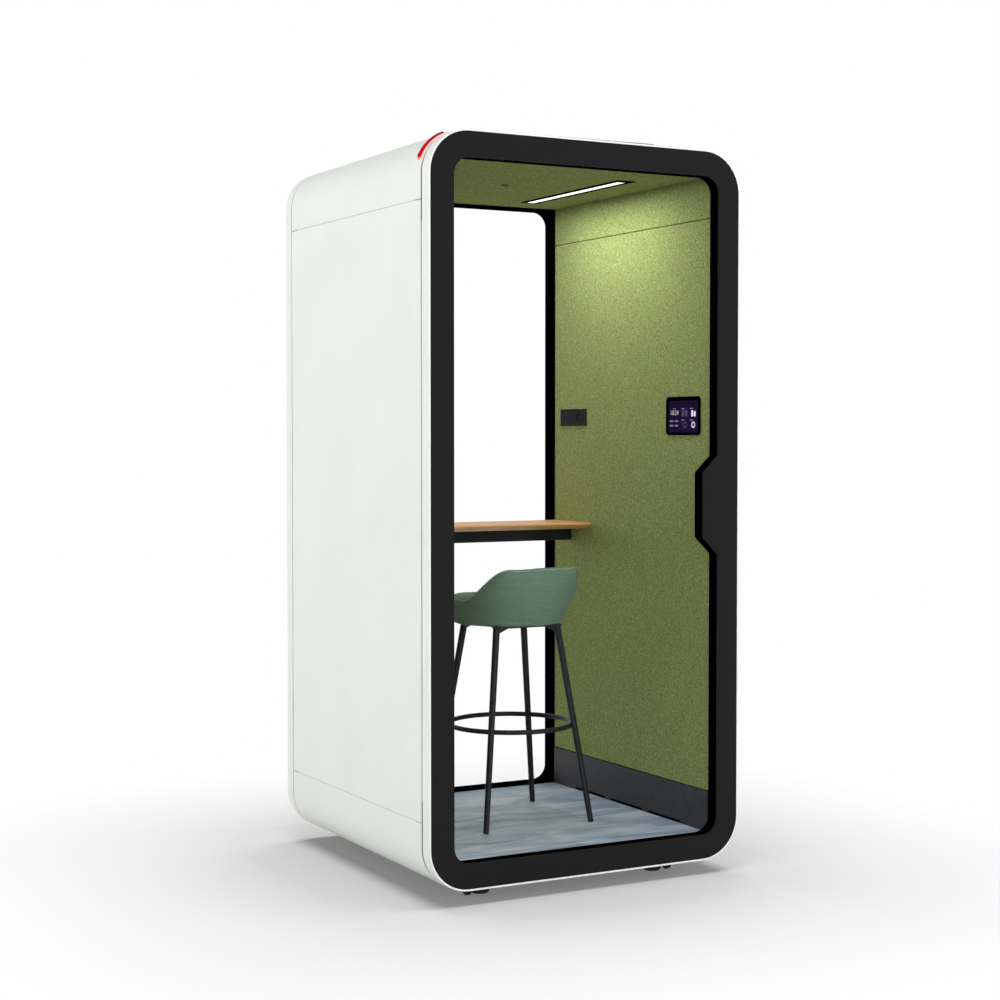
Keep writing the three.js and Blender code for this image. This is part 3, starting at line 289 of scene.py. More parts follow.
def printed_vinyl():
    """Printed vinyl floor: brushed blue-grey clouds of 90 by 400 mm, with streaks of 9 mm across the cabin."""
    made, tree, shader, point = new_material("printed_vinyl", IOR=1.5, Specular_IOR_Level=0.3)
    wide = add(tree, "ShaderNodeMapping", {"Vector": point, "Scale": (0.3, 1, 1)})
    cloud = add(tree, "ShaderNodeTexNoise", {
        "Vector": wide.outputs[0], "Scale": per_mm(90), "Detail": 3, "Distortion": 0.8})
    across = add(tree, "ShaderNodeMapping", {"Vector": point, "Scale": (0.08, 1, 1)})
    streak = add(tree, "ShaderNodeTexNoise", {
        "Vector": across.outputs[0], "Scale": per_mm(9), "Detail": 5, "Roughness": 0.7})
    both = add(tree, "ShaderNodeMix", {"Factor": 0.38, "A": cloud.outputs[0], "B": streak.outputs[0]})
    tone = add(tree, "ShaderNodeValToRGB", {"Fac": both.outputs[0]},
               [(0.36, "#90a5c0"), (0.46, "#b7cae0"), (0.55, "#d2e2f4"), (0.63, "#ecf5ff")])
    bump = add(tree, "ShaderNodeBump", {"Height": streak.outputs[0], "Strength": 0.15, "Distance": 0.0005})
    matt = add(tree, "ShaderNodeMapRange", {"Value": cloud.outputs[0], "To Min": 0.5, "To Max": 0.7})
    link(tree, tone, shader, "Base Color")
    link(tree, matt, shader, "Roughness")
    link(tree, bump, shader, "Normal")
    return made


def opal_acrylic():
    """Lit opal acrylic: an even white glow, a little dimmer towards one end of the strip."""
    made, tree, shader, point = new_material("opal_acrylic", Roughness=0.45, IOR=1.49)
    shader.inputs["Base Color"].default_value = linear("#f7f7f4")
    low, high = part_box("light_diffuser")
    along = add(tree, "ShaderNodeSeparateXYZ", {"Vector": point})
    ends = add(tree, "ShaderNodeMapRange", {
        "Value": along.outputs["Y"], "From Min": low.y, "From Max": low.y + 0.03, "To Min": 0.75, "To Max": 1.0})
    glow = add(tree, "ShaderNodeValToRGB", {"Fac": ends.outputs[0]}, [(0.0, "#e6e4dd"), (1.0, "#ffffff")])
    link(tree, glow, shader, "Emission Color")
    shader.inputs["Emission Strength"].default_value = 1.0
    return made


def red_acrylic():
    """Lit red acrylic strip: a deep even red, darker towards both ends of the arc."""
    made, tree, shader, point = new_material("red_acrylic", Roughness=0.6, IOR=1.49, Specular_IOR_Level=0.0)
    low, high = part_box("status_light")
    across = add(tree, "ShaderNodeSeparateXYZ", {"Vector": point})
    share = add(tree, "ShaderNodeMapRange", {
        "Value": across.outputs["Z"], "From Min": low.z, "From Max": high.z})
    glow = add(tree, "ShaderNodeValToRGB", {"Fac": share.outputs[0]},
               [(0.0, "#a30f18"), (0.2, "#c91219"), (0.7, "#b8151e"), (1.0, "#8c161e")])
    shader.inputs["Base Color"].default_value = linear("#200203")
    link(tree, glow, shader, "Emission Color")
    shader.inputs["Emission Strength"].default_value = 0.95
    return made


def frosted_acrylic_painted_glow():
    """Frosted acrylic round the red strip, with painted glow: its emission paints the strip's light spilling round
    it, and pales from pink to white.
    """
    made, tree, shader, point = new_material("frosted_acrylic_painted_glow", Roughness=0.5, IOR=1.49)
    low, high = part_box("status_light")
    across = add(tree, "ShaderNodeSeparateXYZ", {"Vector": point})
    share = add(tree, "ShaderNodeMapRange", {
        "Value": across.outputs["Y"], "From Min": low.y - 0.0055, "From Max": high.y + 0.0055})
    tone = add(tree, "ShaderNodeValToRGB", {"Fac": share.outputs[0]},
               [(0.0, "#f9c2bb"), (0.2, "#fb8f86"), (0.8, "#fb8f86"), (1.0, "#f9c2bb")])
    link(tree, tone, shader, "Base Color")
    link(tree, tone, shader, "Emission Color")
    shader.inputs["Emission Strength"].default_value = 0.35
    return made


def oiled_oak():
    """Oiled oak veneer: light brown, grain along the desk in streaks of 6 mm, with dark pores."""
    made, tree, shader, point = new_material("oiled_oak", IOR=1.5)
    long = add(tree, "ShaderNodeMapping", {"Vector": point, "Scale": (0.045, 1, 1)})
    streak = add(tree, "ShaderNodeTexNoise", {
        "Vector": long.outputs[0], "Scale": per_mm(9), "Detail": 7, "Roughness": 0.62, "Distortion": 0.6})
    tone = add(tree, "ShaderNodeValToRGB", {"Fac": streak.outputs[0]},
               [(0.32, "#c6894c"), (0.45, "#e5a564"), (0.58, "#f1b97d"), (0.7, "#f8cd98")])
    fine = add(tree, "ShaderNodeMapping", {"Vector": point, "Scale": (0.03, 1, 1)})
    pores = add(tree, "ShaderNodeTexNoise", {"Vector": fine.outputs[0], "Scale": per_mm(1.6), "Detail": 3})
    bump = add(tree, "ShaderNodeBump", {"Height": pores.outputs[0], "Strength": 0.15, "Distance": 0.0003})
    sheen = add(tree, "ShaderNodeMapRange", {"Value": pores.outputs[0], "To Min": 0.42, "To Max": 0.6})
    link(tree, tone, shader, "Base Color")
    link(tree, sheen, shader, "Roughness")
    link(tree, bump, shader, "Normal")
    return made


def screen_glass():
    """Lit touch screen under glass: dark violet, a little lighter towards its lower edge."""
    made, tree, shader, point = new_material("screen_glass", Roughness=0.12, IOR=1.5)
    low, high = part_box("display_screen")
    split = add(tree, "ShaderNodeSeparateXYZ", {"Vector": point})
    share = add(tree, "ShaderNodeMapRange", {
        "Value": split.outputs["Z"], "From Min": low.z, "From Max": high.z})
    glow = add(tree, "ShaderNodeValToRGB", {"Fac": share.outputs[0]}, [(0.0, "#221148"), (1.0, "#1c0d3c")])
    link(tree, glow, shader, "Emission Color")
    shader.inputs["Base Color"].default_value = linear("#030207")
    shader.inputs["Specular IOR Level"].default_value = 0.01
    shader.inputs["Emission Strength"].default_value = 0.45
    return made


def screen_ink(name, code):
    """Lit marks on the screen: flat, with the faint unevenness of a backlight."""
    made, tree, shader, point = new_material(name, Roughness=0.3, Specular_IOR_Level=0.01)
    patch = add(tree, "ShaderNodeTexNoise", {"Vector": point, "Scale": per_mm(12)})
    even = add(tree, "ShaderNodeMapRange", {"Value": patch.outputs[0], "To Min": 0.75, "To Max": 0.95})
    shader.inputs["Base Color"].default_value = linear("#0b0716")
    shader.inputs["Emission Color"].default_value = linear(code)
    link(tree, even, shader, "Emission Strength")
    return made


def sage_weave(name, shade, tint):
    """Flat-woven wool in sage: threads of 1 mm, drawn at 4 mm to show, with faint slubs both ways and a sheen."""
    made, tree, shader, point = new_material(
        name, Sheen_Weight=0.2, Sheen_Roughness=0.4, IOR=1.45, Specular_IOR_Level=0.1)
    shader.inputs["Sheen Tint"].default_value = linear("#c3d6ca")
    rib = add(tree, "ShaderNodeTexWave", {
        "Vector": point, "Scale": per_mm(4) / 3.2, "Distortion": 0.8, "Detail": 2, "Detail Scale": 2},
        bands_direction="Z")
    level = add(tree, "ShaderNodeMapping", {"Vector": point, "Scale": (0.3, 0.3, 1)})
    slub = add(tree, "ShaderNodeTexNoise", {"Vector": level.outputs[0], "Scale": per_mm(7), "Detail": 3})
    upright = add(tree, "ShaderNodeMapping", {"Vector": point, "Scale": (1, 1, 0.25)})
    warp = add(tree, "ShaderNodeTexNoise", {"Vector": upright.outputs[0], "Scale": per_mm(5), "Detail": 2})
    yarn = add(tree, "ShaderNodeMix", {"Factor": 0.4, "A": slub.outputs[0], "B": warp.outputs[0]})
    both = add(tree, "ShaderNodeMix", {"Factor": 0.2, "A": yarn.outputs[0], "B": rib.outputs["Fac"]})
    tone = add(tree, "ShaderNodeValToRGB", {"Fac": both.outputs[0]}, [(0.18, shade), (0.82, tint)])
    bump = add(tree, "ShaderNodeBump", {"Height": both.outputs[0], "Strength": 0.12, "Distance": 0.0006})
    matt = add(tree, "ShaderNodeMapRange", {"Value": slub.outputs[0], "To Min": 0.82, "To Max": 0.98})
    link(tree, tone, shader, "Base Color")
    link(tree, matt, shader, "Roughness")
    link(tree, bump, shader, "Normal")
    return made


FINISH = {
    "white_panel": powder_coat("white_powder_coat", "#f0f5ee", "#f3f8f1", 0.42),
    "white_rim": powder_coat("rim_powder_coat", "#f1f3ef", "#f6f7f3", 0.38),
    "dark_border": textured_coat("dark_textured_coat", "#0f0f0f", "#151515"),
    "black_frame": moulded_plastic("black_lacquer", "#010101", "#020203", 0.6, 0.0),
    "black_steel": powder_coat("black_powder_coat", "#1b1d1f", "#232628", 0.42),
    "glass": coated_glass(),
    "rubber": moulded_rubber(),
    "steel": zinc_steel("zinc_plated_steel", "#9a9da1", "#b7babd"),
    "green_felt": needled_felt(),
    "fibre_core": fibre_board(),
    "grey_plastic": moulded_plastic("grey_abs", "#2f2f33", "#3a3a3f", 0.55, 0.3),
    "black_plastic": moulded_plastic("black_abs", "#060607", "#0c0c0e", 0.5, 0.1),
    "plywood": birch_plywood(),
    "grey_vinyl": printed_vinyl(),
    "opal": opal_acrylic(),
    "red_lens": red_acrylic(),
    "oak": oiled_oak(),
    "screen": screen_glass(),
    "sage_fabric": sage_weave("sage_wool", "#5a715f", "#728b78"),
}
WHITE_INK = screen_ink("screen_white", "#f4f2fb")
LILAC_INK = screen_ink("screen_lilac", "#8d7da3")
DIM_INK = screen_ink("screen_dim_lilac", "#55465f")
TILE_INK = screen_ink("screen_tile", "#1f0f38")
# Painted glow: the lens round the status strip emits the strip's spilled light.
PAINTED_GLOW = frosted_acrylic_painted_glow()
# Lighter sage for the welt: painted highlight along the seat's top edge.
HIGHLIGHT_PIPING = sage_weave("sage_piping_painted_highlight", "#7f9a86", "#9bb4a1")
# Darker zinc for the roof hood: painted shade, standing in for its front face in shadow.
HOOD = zinc_steel("zinc_darkened_painted_shade", "#4c4d51", "#5e5f63")
PLATE = moulded_plastic("plate_abs", "#1a1b1b", "#212222", 0.55, 0.06)
SOCKET = moulded_plastic("socket_abs", "#15161b", "#1b1c22", 0.5, 0.05)
SENSOR = moulded_plastic("sensor_abs", "#5a613f", "#676e4b", 0.6, 0.1)


def dress_frame():
    """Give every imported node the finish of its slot."""
    for entry in frame["record"]["subparts"]:
        for slot in frame["nodes"][entry["node"]].material_slots:
            slot.material = FINISH[entry["material_slot"]]
    frame["nodes"]["power_module"].material_slots[0].material = PLATE
    frame["nodes"]["light_housing"].material_slots[0].material = FINISH["black_frame"]


# Mesh tools, in millimetres

ALONG = {
    "X": lambda u, v, w: (w, u, v),
    "Y": lambda u, v, w: (u, w, v),
    "Z": lambda u, v, w: (u, v, w),
}


def soften(mesh, size, segments=2, angle=30):
    """Round every edge sharper than the angle."""
    bmesh.ops.recalc_face_normals(mesh, faces=mesh.faces[:])
    limit = math.radians(angle)
    sharp = [edge for edge in mesh.edges if edge.is_manifold and edge.calc_face_angle() > limit]
    bmesh.ops.bevel(mesh, geom=sharp, offset=size, offset_type="OFFSET", affect="EDGES",
                    segments=segments, profile=0.5, material=-1, clamp_overlap=True)
    return mesh


def rounded_face(mesh, corners, level, axis):
    """A flat face through corners (u, v, setback), each rounded over its setback."""
    points = [mesh.verts.new(ALONG[axis](u, v, level)) for u, v, _ in corners]
    mesh.faces.new(points)
    for setback in sorted({corner[2] for corner in corners} - {0}):
        chosen = [point for point, corner in zip(points, corners) if corner[2] == setback]
        bmesh.ops.bevel(mesh, geom=chosen, offset=setback, offset_type="ABSOLUTE", affect="VERTICES",
                        segments=ARC, profile=0.5, material=-1, clamp_overlap=False)


def slab(outer, start, end, axis="Y", hole=None, edge=1.0, segments=2):
    """A rounded outline, with a hole if one is given, extruded along an axis and softened."""
    mesh = bmesh.new()
    rounded_face(mesh, outer, start, axis)
    if hole:
        rounded_face(mesh, hole, start, axis)
        rims = mesh.edges[:]
        bmesh.ops.delete(mesh, geom=mesh.faces[:], context="FACES_ONLY")
        bmesh.ops.bridge_loops(mesh, edges=rims)
    grown = bmesh.ops.extrude_face_region(mesh, geom=mesh.faces[:])["geom"]
    moved = [item for item in grown if isinstance(item, bmesh.types.BMVert)]
    bmesh.ops.translate(mesh, vec=ALONG[axis](0, 0, end - start), verts=moved)
    return soften(mesh, edge, segments)


def block(low, high, edge=1.0, segments=2):
    """A box between two corners with softened edges."""
    mesh = bmesh.new()
    size = Vector(high) - Vector(low)
    middle = (Vector(high) + Vector(low)) / 2
    bmesh.ops.create_cube(mesh, size=1, matrix=Matrix.Translation(middle) @ Matrix.Diagonal((*size, 1)))
    return soften(mesh, edge, segments)


def turned(profile, centre, axis=(0, 0, 1), steps=48, edge=0.0):
    """A profile of (radius, height) spun round an axis through the centre."""
    mesh = bmesh.new()
    points = [mesh.verts.new((radius, 0, height)) for radius, height in profile]
    strip = [mesh.edges.new(pair) for pair in zip(points, points[1:])]
    bmesh.ops.spin(mesh, geom=points + strip, cent=(0, 0, 0), axis=(0, 0, 1), dvec=(0, 0, 0),
                   angle=math.tau, steps=steps, use_merge=True)
    bmesh.ops.remove_doubles(mesh, verts=mesh.verts[:], dist=0.001)
    bmesh.ops.recalc_face_normals(mesh, faces=mesh.faces[:])
    if edge:
        soften(mesh, edge)
    turn = Vector(axis).to_track_quat("Z", "Y").to_matrix().to_4x4()
    bmesh.ops.transform(mesh, matrix=Matrix.Translation(centre) @ turn, verts=mesh.verts[:])
    return mesh


def slice_at(mesh, places, normal):
    """Cut new edges through the whole mesh at places along an axis."""
    for place_along in places:
        geom = mesh.verts[:] + mesh.edges[:] + mesh.faces[:]
        bmesh.ops.bisect_plane(mesh, geom=geom, dist=0.001, plane_co=Vector(normal) * place_along, plane_no=normal)


def screws(places, axis, radius=4.5, proud=1.6):
    """Screw heads with a hollow drive, along an axis."""
    head = [(0, proud * 0.3), (radius * 0.4, proud * 0.3), (radius * 0.48, proud), (radius * 0.75, proud * 0.9),
            (radius, proud * 0.35), (radius, -0.4), (0, -0.4)]
    return gather(*[turned(head, at, axis, steps=20) for at in places])


def tube(start, end, radius, tip, steps=24):
    """A straight tapered rod between two points."""
    mesh = bmesh.new()
    run = Vector(end) - Vector(start)
    turn = run.to_track_quat("Z", "Y").to_matrix().to_4x4()
    middle = Matrix.Translation((Vector(start) + Vector(end)) / 2)
    bmesh.ops.create_cone(mesh, cap_ends=True, segments=steps, radius1=radius, radius2=tip,
                          depth=run.length, matrix=middle @ turn)
    return mesh


def gather(*meshes):
    """Several meshes as one."""
    whole = bmesh.new()
    for mesh in meshes:
        data = bpy.data.meshes.new("gathered")
        mesh.to_mesh(data)
        mesh.free()
        whole.from_mesh(data)
        bpy.data.meshes.remove(data)
    return whole


def piece(name, mesh, body, slot, *nodes, finish=None, angle=35):
    """A finished piece from a mesh in millimetres: smooth, on its body, in place of its nodes."""
    bmesh.ops.recalc_face_normals(mesh, faces=mesh.faces[:])
    bmesh.ops.scale(mesh, vec=(MM, MM, MM), verts=mesh.verts[:])
    data = bpy.data.meshes.new(name)
    mesh.to_mesh(data)
    mesh.free()
    data.materials.append(finish or FINISH[slot])
    data.shade_smooth()
    data.set_sharp_from_angle(angle=math.radians(angle))
    made = bpy.data.objects.new(name, data)
    bpy.context.scene.collection.objects.link(made)
    shading = made.modifiers.new("flat_faces", "WEIGHTED_NORMAL")
    shading.keep_sharp = True
    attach(made, body)
    if nodes:
        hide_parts(*nodes)
    return made


# Outlines of the shell and the glazed openings, as corners (x, z, setback)

def shell_outline(inset, stations=()):
    """The shell's rounded outline. Stations are plain points on its right edge."""
    side = HALF - inset
    low, high, radius = BASE + inset, TOP - inset, SHELL_RADIUS - inset
    return [(-side, low, radius), (side, low, radius),
            *[(side, z, GRIP_SETBACK) for z in stations],
            (side, high, radius), (-side, high, radius)]


def opening_outline(grow=0.0):
    """The rounded opening, grown by the depth that the pane is held."""
    side = HALF - OPENING_INSET + grow
    low, high = BASE + OPENING_INSET - grow, TOP - OPENING_INSET + grow
    radius = OPENING_RADIUS + grow
    return [(-side, low, radius), (side, low, radius), (side, high, radius), (-side, high, radius)]


GRIP_STATIONS = (GRIP_LOW, GRIP_FLAT_LOW, GRIP_FLAT_HIGH, GRIP_HIGH)


def grip_outline():
    """The door's opening, with the grip that widens its right stile."""
    corners = opening_outline()
    side = HALF - OPENING_INSET
    inner = side - GRIP_DEPTH
    grip = [(x, z, GRIP_SETBACK) for x, z in zip((side, inner, inner, side), GRIP_STATIONS)]
    return corners[:2] + grip + corners[2:]


# Glazed rings

def front_door():
    """White rim, dark border plate, black section frame and pane of the door."""
    piece("door_rim_shell", slab(shell_outline(0), FRONT, DOOR_BACK, hole=shell_outline(RIM_LIP), edge=2),
          "door", "white_rim", "door_rim")
    low, high = place("door_border")
    outer = shell_outline(RIM_LIP + FIT, GRIP_STATIONS)
    piece("door_border_plate", slab(outer, low.y, high.y, hole=grip_outline(), edge=0.8),
          "door", "dark_border", "door_border")
    low, high = place("door_frame")
    piece("door_section_frame", slab(outer, low.y, high.y, hole=grip_outline(), edge=0.8),
          "door", "black_frame", "door_frame")
    low, high = place("door_glass")
    piece("door_pane", slab(opening_outline(9.7), low.y, high.y, edge=0.8), "door", "glass", "door_glass")


def rear_wall():
    """White rim, dark frame with its black reveal, and pane of the fixed rear wall."""
    rear, inner = -FRONT, -DOOR_BACK
    piece("rear_rim_shell", slab(shell_outline(0), inner, rear, hole=shell_outline(RIM_LIP), edge=2),
          "pod", "white_rim", "rear_rim")
    low, high = place("rear_frame")
    made = piece("rear_section_frame",
                 slab(shell_outline(RIM_LIP + FIT), low.y, high.y, hole=opening_outline(), edge=0.8),
                 "pod", "black_frame", "rear_frame")
    made.data.materials.append(FINISH["dark_border"])
    for polygon in made.data.polygons:
        polygon.material_index = int(polygon.normal.y > 0.5)
    low, high = place("rear_glass")
    piece("rear_pane", slab(opening_outline(9.7), low.y, high.y, edge=0.8), "pod", "glass", "rear_glass")


# Outer skin

def corner_panel(name, side, z, rise):
    """One bent sheet: two flat legs and the rounded corner between them."""
    outer, inner = side * HALF, side * (HALF - SKIN)
    leg, end = side * (HALF - CORNER_LEG), z + rise * CORNER_LEG
    fold = z + rise * SKIN
    corners = [(leg, z, 0), (outer, z, SHELL_RADIUS), (outer, end, 0),
               (inner, end, 0), (inner, fold, SHELL_RADIUS - SKIN), (leg, fold, 0)]
    piece(f"{name}_sheet", slab(corners, BODY_FRONT, BODY_REAR, edge=0.25), "pod", "white_panel", name)


def outer_skin():
    """Four corner panels and two side panels."""
    corner_panel("lower_corner_left", -1, BASE, 1)
    corner_panel("lower_corner_right", 1, BASE, 1)
    corner_panel("upper_corner_left", -1, TOP, -1)
    corner_panel("upper_corner_right", 1, TOP, -1)
    for name in ("side_panel_left", "side_panel_right"):
        piece(f"{name}_sheet", block(*place(name), edge=0.25), "pod", "white_panel", name)


STATUS_START, STATUS_SWEEP = 0.61 * math.pi, 0.27 * math.pi


def curved_strip(half, ends, inner, outer, edge, segments):
    """A round-ended strip bent over the shell's upper left corner, longer than the light by the ends."""
    low, high = place("status_light")
    y0, y1 = (low.y + high.y) / 2 - half, (low.y + high.y) / 2 + half
    turn = half * 0.9
    u0, u1 = -ends, STATUS_SWEEP * SHELL_RADIUS + ends
    mesh = slab([(u0, y0, turn), (u1, y0, turn), (u1, y1, turn), (u0, y1, turn)], inner, outer, axis="Z",
                edge=edge, segments=segments)
    slice_at(mesh, [u0 + (u1 - u0) * k / 32 for k in range(1, 32)], (1, 0, 0))
    for vert in mesh.verts:
        angle = STATUS_START + vert.co.x / SHELL_RADIUS
        vert.co = (-HALF + SHELL_RADIUS + vert.co.z * math.cos(angle), vert.co.y,
                   TOP - SHELL_RADIUS + vert.co.z * math.sin(angle))
    return mesh


def status_light():
    """A red strip with a domed top in its frosted lens, let into the upper left corner panel; the lens carries
    painted glow from the strip.
    """
    lens = curved_strip(22, 6, SHELL_RADIUS - SKIN, SHELL_RADIUS + 2.6, 2, 3)
    # The lens is lit by its own emission: painted glow of the strip's light.
    piece("status_lens_painted_glow", lens, "pod", "red_lens", finish=PAINTED_GLOW)
    strip = curved_strip(10.3, 1, SHELL_RADIUS - SKIN - 4, SHELL_RADIUS + 7.7, 6.3, 6)
    piece("status_strip", strip, "pod", "red_lens", "status_light")


# Lining and fittings

FLOOR = place("floor_covering")[1].z
SLOTS = (-235, 0, 235)


def lining():
    """Felt panels with soft cut edges, and black sheets set back in the skirting's air slots as painted shade."""
    for name in ("wall_felt_left", "wall_felt_right", "upper_felt_left", "upper_felt_right"):
        piece(f"{name}_panel", block(*place(name), edge=2.5, segments=3), "pod", "green_felt", name)
    for suffix, side in (("left", -1), ("right", 1)):
        near, far = sorted((side * 475, side * 487))
        # Black sheets in the slots: painted shade inside the skirting's air slots.
        shade_sheets = [block((near, y - 99.5, FLOOR + 0.4), (far, y + 99.5, FLOOR + 8.6), edge=0.4) for y in SLOTS]
        piece(f"slot_shade_sheet_{suffix}", gather(*shade_sheets), "pod", "black_frame")


def ceiling_light():
    """Opal strip with a rolled edge, in a black surround that fills its tray."""
    low, high = place("light_diffuser")
    outer = [(x, y, 0) for x, y in ((low.x, low.y), (high.x, low.y), (high.x, high.y), (low.x, high.y))]
    low, high = low + Vector((8, 3, 0)), high - Vector((8, 3, 0))
    hole = [(x, y, 0) for x, y in ((low.x, low.y), (high.x, low.y), (high.x, high.y), (low.x, high.y))]
    surround = slab(outer, low.z, high.z, "Z", hole=hole, edge=0.3)
    piece("light_surround", surround, "pod", "black_plastic", finish=FINISH["black_frame"])
    strip = block(low + Vector((0.2, 0.2, 0)), high - Vector((0.2, 0.2, 0)), edge=1.2, segments=3)
    piece("light_strip", strip, "pod", "opal", "light_diffuser")


def occupancy_sensor():
    """A low dome on a flange."""
    low, high = place("occupancy_sensor")
    centre = (low + high) / 2
    radius = (high.x - low.x) / 2
    dome = [(radius * math.cos(k * math.pi / 16), low.z + 2 - 2 * math.sin(k * math.pi / 16)) for k in range(9)]
    profile = [(9, high.z), (9, low.z + 6), (radius, low.z + 6), (radius, low.z + 3), *dome]
    piece("sensor_dome", turned(profile, (centre.x, centre.y, 0)), "pod", "black_plastic", "occupancy_sensor",
          finish=SENSOR)


def desk():
    """Oak top with a long under-bevel, on its beam."""
    low, high = place("desk_top")
    section = [(low.y, high.z - 6, 0), (low.y + 33, low.z, 0), (high.y, low.z, 0),
               (high.y, high.z, 0), (low.y, high.z, 0)]
    piece("desk_board", slab(section, low.x, high.x, axis="X", edge=1.2, segments=3), "pod", "oak", "desk_top")
    piece("desk_rail", block(*place("desk_beam"), edge=1.5), "pod", "black_steel", "desk_beam")


def outline_yz(y0, y1, z0, z1, radius):
    """A rounded rectangle across X."""
    return [(y0, z0, radius), (y1, z0, radius), (y1, z1, radius), (y0, z1, radius)]


ACROSS = (1, 0, 0)


def power_module():
    """Inserts in the two recesses: a round socket with black discs painted as the shade of its pin holes, and a
    charger with two ports.
    """
    low, high = place("power_module")
    face = low.x
    middle_y, middle_z = (low.y + high.y) / 2, (low.z + high.z) / 2
    round_y, flat_y = middle_y - 41, middle_y + 41
    cup = [(18.6, 0), (18.6, 2.1), (17.2, 2.3), (16.6, 0.5), (0, 0.5)]
    insert = turned([(radius, -height) for radius, height in cup], (face + 2.5, round_y, middle_z), ACROSS)
    piece("socket_insert", insert, "pod", "grey_plastic", finish=SOCKET)
    # Black discs in place of the pin holes: painted shade of the holes.
    hole_shades = [turned([(2.6, 0), (2.6, -0.4), (0, -0.4)], (face + 2.1, round_y + dy, middle_z), ACROSS, steps=16)
            for dy in (-9.5, 9.5)]
    piece("socket_pin_hole_shade", gather(*hole_shades), "pod", "black_plastic")
    plate = slab(outline_yz(flat_y - 19, flat_y + 19, middle_z - 6, middle_z + 6, 1.5),
                 face + 0.8, face + 2.5, axis="X", edge=0.4)
    piece("charger_insert", plate, "pod", "grey_plastic", finish=SOCKET)
    ports = [slab(outline_yz(flat_y + dy - 6, flat_y + dy + 6, middle_z - 2.4, middle_z + 2.4, 1.2),
                  face + 0.5, face + 1, axis="X", edge=0.2) for dy in (-9, 9)]
    piece("charger_ports", gather(*ports), "pod", "black_plastic")


def flat_marks(outlines, x):
    """Thin raised marks on the screen."""
    return gather(*[slab(corners, x - 0.2, x, axis="X", edge=0.03, segments=1) for corners in outlines])


def page_ring(x, y, z, radius):
    """A round mark with an open middle."""
    inner = radius * 0.6
    return slab(outline_yz(y - radius, y + radius, z - radius, z + radius, radius * 0.98), x - 0.2, x, axis="X",
                hole=outline_yz(y - inner, y + inner, z - inner, z + inner, inner * 0.98), edge=0.03, segments=1)


def clock_digits(x, y, z, height):
    """The time in generic digits, as a mesh that reads from inside the cabin."""
    curve = bpy.data.curves.new("clock_digits", "FONT")
    curve.body = "10:24"
    curve.size = height * 1.4
    curve.extrude = 0.1
    curve.offset = -0.25
    text = bpy.data.objects.new("clock_digits", curve)
    data = bpy.data.meshes.new_from_object(text)
    mesh = bmesh.new()
    mesh.from_mesh(data)
    bpy.data.objects.remove(text)
    bpy.data.curves.remove(curve)
    bpy.data.meshes.remove(data)
    turn = Matrix(((0, 0, -1, x), (-1, 0, 0, y), (0, 1, 0, z), (0, 0, 0, 1)))
    bmesh.ops.transform(mesh, matrix=turn, verts=mesh.verts[:])
    return mesh


def touch_display():
    """Rounded housing, screen and its generic page: a clock, rows of marks and four tiles with icons."""
    low, high = place("display_housing")
    wall = place("wall_felt_right")[0].x - FIT
    shell = slab(outline_yz(low.y, high.y + 1.5, low.z + 1.5, high.z + 3, 13), low.x, wall, axis="X", edge=1.2,
                 segments=3)
    piece("display_case", shell, "pod", "black_plastic", "display_housing", finish=FINISH["black_frame"])
    low, high = place("display_screen")
    face = low.x - 0.3
    glass = slab(outline_yz(low.y + 3, high.y - 8, low.z + 3, high.z - 3, 5), face, high.x, axis="X", edge=0.3)
    piece("display_page", glass, "pod", "screen", "display_screen")
    piece("page_clock", clock_digits(face, -272, 1458.5, 15.5), "pod", "screen", finish=WHITE_INK)
    rows = [outline_yz(y - 21, y, z, z + 5, 2) for y in (-269, -298) for z in (1421, 1436)]
    labels = [outline_yz(y - 16, y, z, z + 3, 1.2) for y in (-337, -386) for z in (1440, 1477)]
    badge = outline_yz(-303, -289, 1477.5, 1480.5, 1.2)
    piece("page_lines", flat_marks([*rows, *labels, badge], face), "pod", "screen", finish=LILAC_INK)
    tiles = [outline_yz(y - 42, y, z, z + 32, 4) for y in (-334, -381) for z in (1413, 1450)]
    piece("page_tiles", flat_marks(tiles, face + 0.1), "pod", "screen", finish=TILE_INK)
    bars = [outline_yz(-404, -394, 1453, 1473, 1), outline_yz(-418, -408, 1453, 1470, 1)]
    rings = gather(flat_marks(bars, face - 0.1), page_ring(face - 0.1, -405, 1426, 10))
    piece("page_icons", rings, "pod", "screen", finish=WHITE_INK)
    shades = [outline_yz(-353, -340, 1453, 1473, 1), outline_yz(-371, -358, 1453, 1473, 1)]
    faint = gather(flat_marks(shades, face - 0.1), page_ring(face - 0.1, -357, 1426, 10))
    piece("page_faint_icons", faint, "pod", "screen", finish=DIM_INK)


# Roof and running gear

HOOD_FALL = 4


